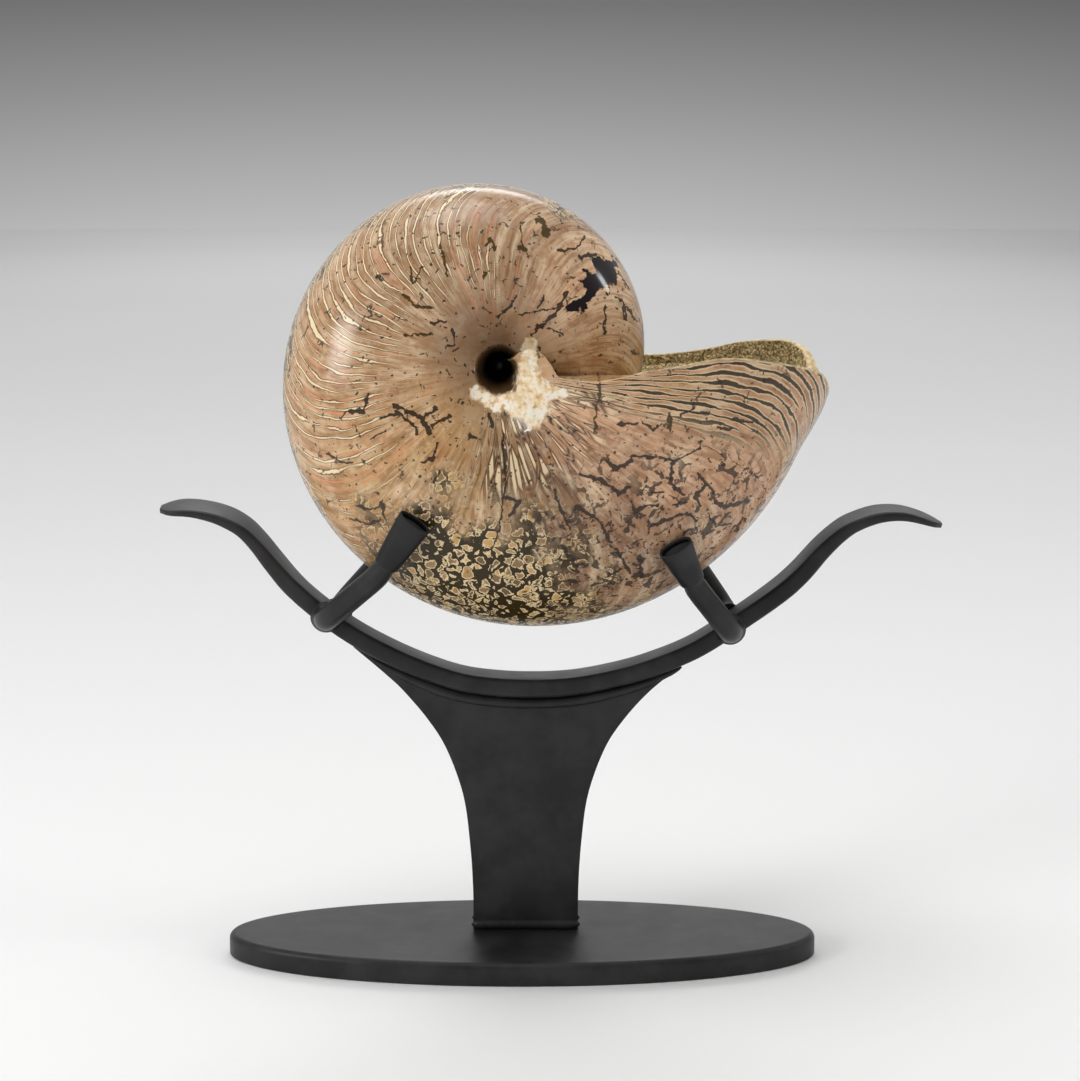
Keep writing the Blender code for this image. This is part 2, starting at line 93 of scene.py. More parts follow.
def smooth_through(stations: Sequence[tuple[float, float]], places: np.ndarray) -> np.ndarray:
    """Read a smooth curve through stations that never overshoots them.

    Args:
        stations: (place, value) pairs in rising order of place.
        places: where to read the curve.

    Returns:
        The values there.
    """
    xs = np.array([place for place, _ in stations])
    ys = np.array([value for _, value in stations])
    steps = np.diff(xs)
    slopes = np.diff(ys) / steps
    tangents = np.zeros_like(ys)
    same = slopes[:-1] * slopes[1:] > 0
    before, after = slopes[:-1][same], slopes[1:][same]
    tangents[1:-1][same] = 2 * before * after / (before + after)
    index = np.clip(np.searchsorted(xs, places, side="right") - 1, 0, len(steps) - 1)
    t = np.clip((places - xs[index]) / steps[index], 0, 1)
    start, end = ys[index], ys[index + 1]
    lean_in, lean_out = tangents[index] * steps[index], tangents[index + 1] * steps[index]
    return (start * (2 * t ** 3 - 3 * t ** 2 + 1) + lean_in * (t ** 3 - 2 * t ** 2 + t)
            + end * (3 * t ** 2 - 2 * t ** 3) + lean_out * (t ** 3 - t ** 2))


def curve_through(stations: Sequence[Sequence[float]], steps: int) -> list[Vector]:
    """Return points on a Catmull-Rom curve through the stations, ends included.

    Args:
        stations: the points that the curve passes.
        steps: points from one station to the next.

    Returns:
        The points in order.
    """
    points = [Vector(station) for station in stations]
    padded = [points[0] * 2 - points[1], *points, points[-1] * 2 - points[-2]]
    curve = []
    for index in range(1, len(padded) - 2):
        a, b, c, d = padded[index - 1:index + 3]
        for step in range(steps):
            t = step / steps
            curve.append(0.5 * (b * 2 + (c - a) * t + (a * 2 - b * 5 + c * 4 - d) * t * t
                                + (b * 3 - a - c * 3 + d) * t ** 3))
    curve.append(points[-1])
    return curve


class Wiring:
    """Adds nodes to a node tree and links them up."""

    def __init__(self, tree: Tree) -> None:
        """Keep the tree that nodes are added to."""
        self.tree = tree

    def node(self, kind: str, values: Optional[dict] = None, **settings: object) -> bpy.types.Node:
        """Add a node, set its properties and feed its sockets by name or number."""
        made = self.tree.nodes.new(kind)
        for name, value in settings.items():
            setattr(made, name, value)
        return self.feed_all(made, values or {})

    def feed_all(self, made: bpy.types.Node, values: dict) -> bpy.types.Node:
        """Feed several sockets of a node by name or number, and return the node."""
        for name, value in values.items():
            if value is not None:
                self.feed(made.inputs[name], value)
        return made

    def feed(self, socket: Socket, value: Input) -> None:
        """Link a socket to another, or give it a plain value."""
        if isinstance(value, Socket):
            self.tree.links.new(value, socket)
        elif socket.type == "RGBA" and len(value) == 3:
            socket.default_value = (*value, 1.0)
        else:
            socket.default_value = value

    def math(self, operation: str, a: Input, b: Input = None, c: Input = None) -> Socket:
        """Add a Math node and return its result."""
        return self.node("ShaderNodeMath", {0: a, 1: b, 2: c}, operation=operation).outputs[0]

    def plus(self, a: Input, b: Input) -> Socket:
        """Add two numbers."""
        return self.math("ADD", a, b)

    def minus(self, a: Input, b: Input) -> Socket:
        """Take the second number from the first."""
        return self.math("SUBTRACT", a, b)

    def over(self, a: Input, b: Input) -> Socket:
        """Divide the first number by the second."""
        return self.math("DIVIDE", a, b)

    def scaled(self, value: Input, factor: Input, added: Input) -> Socket:
        """Multiply a number and add another to it."""
        return self.math("MULTIPLY_ADD", value, factor, added)

    def least(self, a: Input, b: Input) -> Socket:
        """Return the smaller of two numbers."""
        return self.math("MINIMUM", a, b)

    def vector(self, operation: str, a: Input, b: Input = None, scale: Input = None) -> Socket:
        """Add a Vector Math node and return its vector, or its value where it gives one."""
        made = self.node("ShaderNodeVectorMath", {0: a, 1: b, "Scale": scale}, operation=operation)
        return made.outputs["Value" if operation in {"DOT_PRODUCT", "LENGTH"} else "Vector"]

    def combine(self, x: Input = 0.0, y: Input = 0.0, z: Input = 0.0) -> Socket:
        """Make a vector of three numbers."""
        return self.node("ShaderNodeCombineXYZ", {0: x, 1: y, 2: z}).outputs[0]

    def separate(self, vector: Input) -> Outputs:
        """Split a vector into its three numbers."""
        return self.node("ShaderNodeSeparateXYZ", {0: vector}).outputs

    def step(self, value: Input, low: Input, high: Input) -> Socket:
        """Smooth step of a value from 0 at low to 1 at high, which may be below it."""
        return self.node("ShaderNodeMapRange", {0: value, 1: low, 2: high},
                         interpolation_type="SMOOTHSTEP").outputs[0]

    def spread(self, value: Input, low: float, high: float, to_low: float, to_high: float) -> Socket:
        """Map a value linearly from one range to another, held at its ends."""
        share = self.scaled(value, 1 / (high - low), -low / (high - low))
        return self.scaled(self.held(share), to_high - to_low, to_low)

    def held(self, value: Input) -> Socket:
        """Keep a number between 0 and 1."""
        return self.least(self.most(value, 0.0), 1.0)

    def between(self, value: Input, low: float, high: float, soft: float) -> Socket:
        """Mask that is 1 between low and high, with soft edges outside them."""
        rising = self.step(value, low - soft, low + soft)
        falling = self.step(value, high + soft, high - soft)
        return self.product(rising, falling)

    def product(self, *values: Input) -> Socket:
        """Multiply several numbers."""
        result = values[0]
        for value in values[1:]:
            result = self.math("MULTIPLY", result, value)
        return result

    def most(self, *values: Input) -> Socket:
        """Return the largest of several numbers."""
        result = values[0]
        for value in values[1:]:
            result = self.math("MAXIMUM", result, value)
        return result

    def blend(self, share: Input, a: Input, b: Input, mode: str = "MIX") -> Socket:
        """Mix two colours by a share of the second."""
        made = self.node("ShaderNodeMix", {0: share, 6: a, 7: b}, data_type="RGBA", blend_type=mode)
        return made.outputs[2]

    def noise(self, vector: Input, scale: float, detail: float = 2.0, roughness: float = 0.5) -> Socket:
        """Return fractal noise from 0 to 1."""
        return self.node("ShaderNodeTexNoise", {"Vector": vector, "Scale": scale, "Detail": detail,
                                                "Roughness": roughness}).outputs[0]

    def noise_vector(self, vector: Input, scale: float, amount: float, detail: float = 2.0) -> Socket:
        """Push a vector about by noise of a given reach."""
        made = self.node("ShaderNodeTexNoise", {"Vector": vector, "Scale": scale, "Detail": detail})
        pushes = self.channels(made.outputs["Color"])
        reach = [self.scaled(push, 2 * amount, -amount) for push in pushes]
        return self.vector("ADD", vector, self.combine(*reach))

    def channels(self, colour: Input) -> list[Socket]:
        """Split a colour into its three numbers."""
        return list(self.node("ShaderNodeSeparateColor", {0: colour}).outputs)[:3]

    def cells(self, vector: Input, scale: float, feature: str = "DISTANCE_TO_EDGE") -> Outputs:
        """Return the outputs of a Voronoi texture."""
        values = {"Vector": vector, "Scale": scale}
        return self.node("ShaderNodeTexVoronoi", values, feature=feature).outputs

    def ramp(self, position: Input, stops: Sequence[tuple[float, Colour]]) -> Socket:
        """Return a colour read from evenly or unevenly placed stops.

        Args:
            position: where to read, from 0 to 1.
            stops: (position, colour) pairs in rising order.

        Returns:
            The colour.
        """
        made = self.node("ShaderNodeValToRGB")
        band = made.color_ramp
        while len(band.elements) > 1:
            band.elements.remove(band.elements[-1])
        band.elements[0].position = stops[0][0]
        band.elements[0].color = (*stops[0][1], 1.0)
        for place, colour in stops[1:]:
            band.elements.new(place).color = (*colour, 1.0)
        self.feed(made.inputs[0], position)
        return made.outputs[0]

    def attribute(self, name: str) -> Socket:
        """Return a number stored on the mesh."""
        return self.node("ShaderNodeAttribute", attribute_name=name).outputs["Fac"]

    def millimetres(self) -> Socket:
        """Return the object coordinates in millimetres."""
        source = self.node("ShaderNodeTexCoord").outputs["Object"]
        return self.node("ShaderNodeMapping", {"Scale": (1 / MM,) * 3, 0: source}).outputs[0]

    def group(self, group: Tree, **values: Input) -> Outputs:
        """Place a shader node group with its own values."""
        named = {name.replace("_", " ").title(): value for name, value in values.items()}
        return self.node("ShaderNodeGroup", named, node_tree=group).outputs

    def relief(self, shader: bpy.types.Node, height: Input, strength: float, distance: float) -> None:
        """Raise a shader's surface by a bump node."""
        bump = self.node("ShaderNodeBump", {"Strength": strength, "Distance": distance, "Height": height})
        self.feed(shader.inputs["Normal"], bump.outputs[0])

    def dress(self, shape: Input, finish: Input) -> Socket:
        """Turn instances into plain mesh and give them a material."""
        real = self.node("GeometryNodeRealizeInstances", {0: shape})
        values = {"Geometry": real.outputs[0], "Material": finish}
        return self.node("GeometryNodeSetMaterial", values).outputs[0]


def start_material(name: str) -> tuple[Material, Wiring, bpy.types.Node]:
    """Start a material and return it with its wiring and its main shader."""
    made = bpy.data.materials.new(name)
    made.use_nodes = True
    return made, Wiring(made.node_tree), made.node_tree.nodes["Principled BSDF"]


def new_group(name: str, kind: str, inputs: Sequence[tuple[str, str]],
              outputs: Sequence[tuple[str, str]]) -> tuple[Wiring, Outputs, bpy.types.NodeInputs]:
    """Start a node group with named sockets.

    Args:
        name: the group's name.
        kind: ShaderNodeTree or GeometryNodeTree.
        inputs: (name, socket type) of each input.
        outputs: (name, socket type) of each output.

    Returns:
        The wiring, the sockets that bring the inputs and those that take the outputs.
    """
    tree = bpy.data.node_groups.new(name, kind)
    for label, socket_type in inputs:
        tree.interface.new_socket(label, in_out="INPUT", socket_type=socket_type)
    for label, socket_type in outputs:
        tree.interface.new_socket(label, in_out="OUTPUT", socket_type=socket_type)
    wiring = Wiring(tree)
    return wiring, wiring.node("NodeGroupInput").outputs, wiring.node("NodeGroupOutput").inputs


def scene_object(name: str, data: bpy.types.ID, *finishes: Material) -> Item:
    """Put a mesh, a light or a camera in the scene as an object at the origin, with its materials.

    Args:
        name: the object's name.
        data: the mesh, light or camera.
        finishes: materials of a mesh, in order.

    Returns:
        The object.
    """
    item = bpy.data.objects.new(name, data)
    bpy.context.scene.collection.objects.link(item)
    for finish in finishes:
        data.materials.append(finish)
    return item


def soften(item: Item, width: float, segments: int, degrees: float) -> None:
    """Round the edges of an object where it turns by more than an angle.

    Args:
        item: the object.
        width: how far in the rounding starts.
        segments: faces across the rounding.
        degrees: the least turn that is rounded.
    """
    bevel = item.modifiers.new("soft_edges", "BEVEL")
    bevel.width = width
    bevel.segments = segments
    bevel.limit_method = "ANGLE"
    bevel.angle_limit = math.radians(degrees)
    apply_modifiers(item)


def apply_modifiers(item: Item) -> None:
    """Turn an object's evaluated shape into its plain mesh."""
    bpy.context.view_layer.update()
    evaluated = item.evaluated_get(bpy.context.evaluated_depsgraph_get())
    made = bpy.data.meshes.new_from_object(evaluated)
    item.modifiers.clear()
    item.data = made


def run_tree(item: Item, tree: Tree, **values: object) -> None:
    """Run a geometry node tree on an object and keep its result as plain mesh.

    Args:
        item: the object that the tree works on.
        tree: the geometry node tree.
        values: the tree's named inputs, with _ for a space.
    """
    modifier = item.modifiers.new(tree.name, "NODES")
    modifier.node_group = tree
    for socket in tree.interface.items_tree:
        key = socket.name.lower().replace(" ", "_")
        if socket.item_type == "SOCKET" and socket.in_out == "INPUT" and key in values:
            modifier[socket.identifier] = values[key]
    apply_modifiers(item)


def smooth_shade(mesh: bpy.types.Mesh, degrees: float = 38.0) -> None:
    """Shade a mesh smooth, with sharp edges where it turns by more than an angle."""
    mesh.shade_smooth()
    mesh.set_sharp_from_angle(angle=math.radians(degrees))


def loft_mesh(name: str, rings: Sequence[Sequence[Vector]], looped: bool = False) -> bpy.types.Mesh:
    """Make a closed mesh through rings of points.

    Args:
        name: the mesh's name.
        rings: rings of equal length, in order.
        looped: join the last ring to the first, in place of flat ends.

    Returns:
        The mesh, with its faces pointing outwards.
    """
    builder = bmesh.new()
    made = [[builder.verts.new(point) for point in ring] for ring in rings]
    pairs = list(zip(made, made[1:]))
    if looped:
        pairs.append((made[-1], made[0]))
    for ring, following in pairs:
        for index in range(len(ring)):
            after = (index + 1) % len(ring)
            builder.faces.new((ring[index], ring[after], following[after], following[index]))
    if not looped:
        builder.faces.new(made[0])
        builder.faces.new(made[-1])
    return closed_mesh(builder, name)


def closed_mesh(builder: bmesh.types.BMesh, name: str) -> bpy.types.Mesh:
    """Turn the faces outwards and return the mesh."""
    bmesh.ops.recalc_face_normals(builder, faces=builder.faces)
    mesh = bpy.data.meshes.new(name)
    builder.to_mesh(mesh)
    builder.free()
    return mesh


def ship(item: Item, slot: str, *nodes: str) -> None:
    """Hand a finished piece to the frame: its body and what it stands for.

    Args:
        item: the finished object.
        slot: the record's material slot; not used.
        nodes: the CAD nodes that it replaces.
    """
    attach(item, ROOT_BODY)
    if nodes:
        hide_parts(*nodes)
    LOG.info("%s: %d faces", item.name, len(item.data.polygons))


class Slot(Enum):
    """The record's material slots."""

    COAT = "black_coat"
    SLEEVE = "black_sleeve"
    FOSSIL = "fossil"


def grain_group() -> Tree:
    """Build the fine grain that paint, rubber and stone share."""
    wires, given, wanted = new_group(
        "fine grain", "ShaderNodeTree",
        (("Position", VECTOR), ("Size", FLOAT), ("Unevenness", FLOAT)),
        (("Height", FLOAT), ("Tone", FLOAT)))
    per_size = wires.over(1.0, given["Size"])
    scaled = wires.vector("SCALE", given["Position"], scale=per_size)
    fine = wires.noise(scaled, 1.0, 2.0, 0.6)
    broad = wires.noise(given["Position"], 0.09, 3.0, 0.55)
    wires.feed(wanted["Height"], fine)
    lean = wires.product(wires.minus(broad, 0.5), given["Unevenness"])
    wires.feed(wanted["Tone"], wires.plus(wires.plus(lean, 0.5),
                                          wires.product(wires.minus(fine, 0.5), 0.3)))
    return wires.tree


@dataclass(frozen=True)
class BlackFinish:
    """A dark, slightly grained finish: powder coat or soft sleeve."""

    name: str
    dark: Colour
    light: Colour
    roughness: float
    roughness_range: float
    grain_size: float
    grain_depth: float
    shine: float

    def material(self, grain: Tree) -> Material:
        """Build the material.

        Args:
            grain: the shared grain group.

        Returns:
            The material.
        """
        made, wires, shader = start_material(self.name)
        marks = wires.group(grain, position=wires.millimetres(), size=self.grain_size, unevenness=1.6)
        tone = marks["Tone"]
        smooth, rough = self.roughness - self.roughness_range, self.roughness + self.roughness_range
        wires.feed_all(shader, {
            "Base Color": wires.blend(wires.step(tone, 0.25, 0.8), self.dark, self.light),
            "Roughness": wires.spread(tone, 0.2, 0.8, smooth, rough), "Specular IOR Level": self.shine})
        wires.relief(shader, marks["Height"], 0.6, self.grain_depth)
        return made


@dataclass(frozen=True)
class MouthStoneFinish:
    """Rough, granular rock that fills the shell's mouth."""

    dark: Colour = srgb(82, 65, 32)
    middle: Colour = srgb(180, 153, 96)
    light: Colour = srgb(244, 230, 186)

    def material(self, grain: Tree) -> Material:
        """Build the material.

        Args:
            grain: the shared grain group.

        Returns:
            The material.
        """
        made, wires, shader = start_material("mouth_stone")
        place = wires.millimetres()
        marks = wires.group(grain, position=place, size=0.55, unevenness=1.2)
        lumps = wires.cells(wires.noise_vector(place, 0.8, 0.5), 1.1, "F1")
        speckle = wires.noise(place, 1.6, 3.0, 0.7)
        colour = wires.ramp(wires.scaled(speckle, 0.8, wires.product(marks["Tone"], 0.25)),
                            ((0.34, self.dark), (0.5, self.middle), (0.66, self.light)))
        # Painted shade: darker colour in the crevices between lumps.
        crevice_shade = wires.step(lumps["Distance"], 0.45, 0.8)
        colour = wires.blend(wires.product(crevice_shade, 0.75), colour, self.dark)
        wires.feed_all(shader, {"Base Color": colour, "Roughness": 0.85})
        height = wires.minus(wires.plus(marks["Height"], speckle), lumps["Distance"])
        wires.relief(shader, height, 0.9, 0.5 * MM)
        return made


class MarkKind(Enum):
    """What a single drawn mark on the near flank is."""

    CRACK = "crack"
    OLIVE = "olive"
    GLASS = "glass"
    CHALK = "chalk"


@dataclass(frozen=True)
class Mark:
    """One stroke on the near flank: half width and points, in millimetres from the coiling axis."""

    kind: MarkKind
    width: float
    path: tuple[tuple[float, float], ...]


CRACK, OLIVE, GLASS, CHALK = MarkKind
# Each row gives the kind, the half width, and then x and z of every point.
MARK_ROWS = (
    (OLIVE, 1.1, 10, 38.5, 12, 37.5, 12.7, 35), (OLIVE, 0.35, 5.6, 37.1, 5.9, 33, 7.7, 29.4),
    (OLIVE, 0.85, 5.6, 31.8, 7.3, 30.9), (OLIVE, 0.7, -3.2, 32.3, -2.1, 33.8, -1, 31),
    (OLIVE, 0.6, -3.2, 25.2, -3.7, 23.9), (OLIVE, 0.5, -15.2, 32.3, -14.1, 29.5, -13.2, 24.5),
    (OLIVE, 0.45, -22.8, 26.5, -21.9, 22.4, -19.7, 26.7),
    (OLIVE, 0.7, -24.2, 19.8, -20.8, 16.7, -17.6, 16.5), (CRACK, 0.5, -17, 12.5, -13.5, 12.9),
    (OLIVE, 0.35, -24.2, 9.3, -17, 9.5), (CRACK, 0.4, -11.8, 10.3, -11.5, 6.9, -12.8, 6.5),
    (CRACK, 0.6, -30.9, 24.3, -30.3, 23.4),
    (CRACK, 0.62, 10.5, 4.9, 8.7, 9.2, 12.3, 12.3, 15.7, 15.8, 17.7, 20),
    (CRACK, 0.35, 12.8, 11, 16.6, 9.2), (CRACK, 0.25, 5, 14.2, 9.2, 14.9, 14.7, 16.1),
    (CRACK, 0.35, 10, 16, 12, 19.1), (CRACK, 0.4, -0.1, 14, 3.3, 16.6, 4.5, 19.5),
    (CRACK, 0.5, 16, 30.5, 20.3, 31.3, 22.7, 34), (CRACK, 0.7, 21.2, 29.1, 25.6, 29.6),
    (GLASS, 1.9, 18.9, 15.9, 22.1, 17.4, 24.4, 19.7, 25.8, 22), (GLASS, 4.0, 25.2, 22.8, 28.9, 24.1),
    (GLASS, 2.5, 26.4, 27, 29.6, 26), (CRACK, 0.4, 27.7, 16.5, 27.8, 9),
    (CRACK, 0.38, 30.9, 18.6, 33.6, 15.8, 36.9, 11.6), (CRACK, 0.45, 32.9, 16.2, 33.3, 12.3),
    (CRACK, 0.3, 32, 23.9, 34.8, 19.9), (CRACK, 0.5, 35, 4.1, 36.8, 3),
    (CRACK, 0.4, -41.2, -12.2, -39.3, -10.4, -34.7, -10.5, -33.6, -5.7),
    (CRACK, 0.75, -38.5, -10.2, -34.8, -10.4),
    (CRACK, 0.5, -30, -11.9, -25.9, -10.4, -20.8, -14, -21, -15.7),
    (CRACK, 0.62, -27, -8.6, -19.2, -11.7, -15.9, -9.3), (CRACK, 0.85, -20.2, -11.2, -17.6, -15.4),
    (CRACK, 0.6, -17.2, -13.8, -12.3, -11.2), (CRACK, 0.5, -15.7, -17.8, -16.4, -21.4, -19.5, -23.2),
    (CRACK, 0.6, -15, -25.2, -16.8, -28.2), (CRACK, 0.35, -33, -17.3, -29.3, -15.1),
    (CRACK, 0.6, -2.1, -10.7, -1.4, -13.9), (CRACK, 0.65, -7.2, -16.7, -5.1, -16.7),
    (CRACK, 0.4, -44.7, -21.8, -41.3, -23.9, -38, -23.5),
    (CRACK, 0.5, -37.5, -35.4, -32.4, -36.2, -30.3, -34, -29.8, -38.2),
    (CRACK, 0.5, -39.3, -39.2, -33.8, -40.4, -30.9, -38.9),
    (CRACK, 0.35, 1.1, -14.6, 2.1, -26.1, 0.5, -39.8, -1.7, -45.8, -2.5, -65.6),
    (CRACK, 0.7, 2.1, -31.8, 5.4, -32.9, 2.8, -36.5),
    (CRACK, 0.75, 21.1, -25.2, 25.8, -26.3, 31.2, -30.4, 33.3, -28.5),
    (CRACK, 0.75, 28, -21.9, 30.4, -23.8, 33.9, -21.5),
    (CRACK, 0.5, 34.4, -20.3, 41.4, -20.9, 44.9, -21.6),
    (CRACK, 0.3, 44.9, -21.6, 51.7, -18.2, 52, -16.2),
    (CRACK, 0.75, 44.9, -21.8, 44.2, -27.3, 47.4, -30.7),
    (CRACK, 0.5, 51.2, -25.3, 53.9, -28.5, 55.8, -31.1),
    (CRACK, 0.7, 53.9, -28.5, 50.8, -31.4, 52.3, -34.1),
    (CRACK, 0.55, 34.4, -32.7, 35.3, -35.2, 38.2, -33.4, 41.1, -33.8),
    (CRACK, 0.45, 39.7, -30.1, 42.7, -30), (CRACK, 0.55, 39.9, -39.1, 48.8, -35.8, 51.4, -38.4),
    (CRACK, 0.7, 56.2, -33, 58.4, -34.9, 65.3, -34), (CRACK, 0.4, 54.6, -36.7, 56.9, -40.4, 60.7, -40.1),
    (CRACK, 0.6, 45.5, -34, 48.1, -33.1), (CRACK, 0.45, 36.8, -11.3, 39.5, -13.7, 41.4, -12),
    (CRACK, 0.6, 30.3, -12, 35.5, -12), (CRACK, 0.4, 46.5, -9.8, 49.8, -8),
    (CRACK, 0.4, 56.1, -13.2, 59.9, -13.8), (CRACK, 0.5, 60.3, -11, 65.3, -12.6),
    (CRACK, 0.6, 14.4, -29.9, 18.5, -39.5), (CRACK, 0.6, 20.1, -34.1, 25.5, -36.9, 29, -43.3),
    (CRACK, 0.75, 16.6, -44.3, 20.4, -50.8), (CRACK, 0.65, 30.7, -45.7, 34.6, -52.6),
    (CRACK, 0.85, 36.8, -48.7, 37.6, -53.5),
    (CRACK, 0.13, 52.8, -17.8, 60.2, -22.2, 68, -28, 71.3, -33.4), (OLIVE, 0.35, 26, -1.6, 24.6, -14.6),
    (OLIVE, 0.5, 43.4, -9.4, 43.9, -13.8), (CHALK, 0.55, 7.2, -14.4, 10.3, -11.6, 12.0, -8.3),
    (CHALK, 1.1, 12.4, -5.6, 16.6, -4.6), (CHALK, 1.3, -6.0, -5.2, -1.0, -8.8, 3.4, -8.2),
    (CHALK, 1.0, 8.6, 4.6, 8.9, 0.6), (CHALK, 1.9, 9.6, -8.9, 8.4, -10.2),
)
SINGLE_MARKS = [Mark(kind, width, tuple(zip(numbers[::2], numbers[1::2])))
                for kind, width, *numbers in MARK_ROWS]


@dataclass(frozen=True)
class PolishedFossilFinish:
    """Clear-polished shell: tan calcite with growth lines, cracks and a mosaic.

    Angles are in degrees round the coil from the viewer's right, rising over
    the top. Places run from 1 at the navel's edge over 2 on the flank to 3
    on the back.
    """

    coil_x: float
    coil_z: float
    cream: Colour = srgb(232, 210, 166)
    white: Colour = srgb(248, 242, 230)
    olive: Colour = srgb(52, 40, 14)
    umber: Colour = srgb(44, 31, 22)
    rust: Colour = srgb(240, 140, 98)
    glass: Colour = srgb(24, 10, 14)

    def zone_colours(self) -> tuple[tuple[float, Colour], ...]:
        """Return the ground colour along the last turn, by coil angle over 400 degrees."""
        return (
            (0.00, srgb(196, 156, 110)),
            # The 0.09 stop is partly the upper dome's own pale tan and partly a painted highlight of the
            # sheen there.
            (0.09, srgb(238, 202, 164)),
            (0.20, srgb(176, 143, 112)),
            (0.32, srgb(187, 154, 122)),
            (0.45, srgb(202, 164, 126)),
            (0.56, srgb(206, 166, 116)),
            (0.65, srgb(182, 148, 106)),
            (0.74, srgb(128, 98, 74)),
            (0.83, srgb(218, 174, 138)),
            (0.90, srgb(204, 160, 122)),
            (0.95, srgb(194, 154, 110)),
        )

    def material(self) -> Material:
        """Build the material.

        Returns:
            The material, which reads the shell's own attributes.
        """
        made, wires, shader = start_material("polished_fossil")
        colour, matte, height = FossilPainter(self, wires).paint()
        roughness = wires.spread(matte, 0.0, 1.0, 0.38, 0.8)
        low = wires.step(wires.separate(wires.millimetres())["Z"], 128.0, 100.0)
        gloss = wires.spread(low, 0.0, 1.0, 0.52, 0.1)
        coat = wires.product(wires.spread(matte, 0.0, 1.0, 1.0, 0.07), gloss)
        wires.feed_all(shader, {"Base Color": colour, "Roughness": roughness, "Coat Weight": coat,
                                "Specular IOR Level": 0.12, "Coat Roughness": 0.09})
        wires.relief(shader, height, 0.6, 0.7 * MM)
        return made


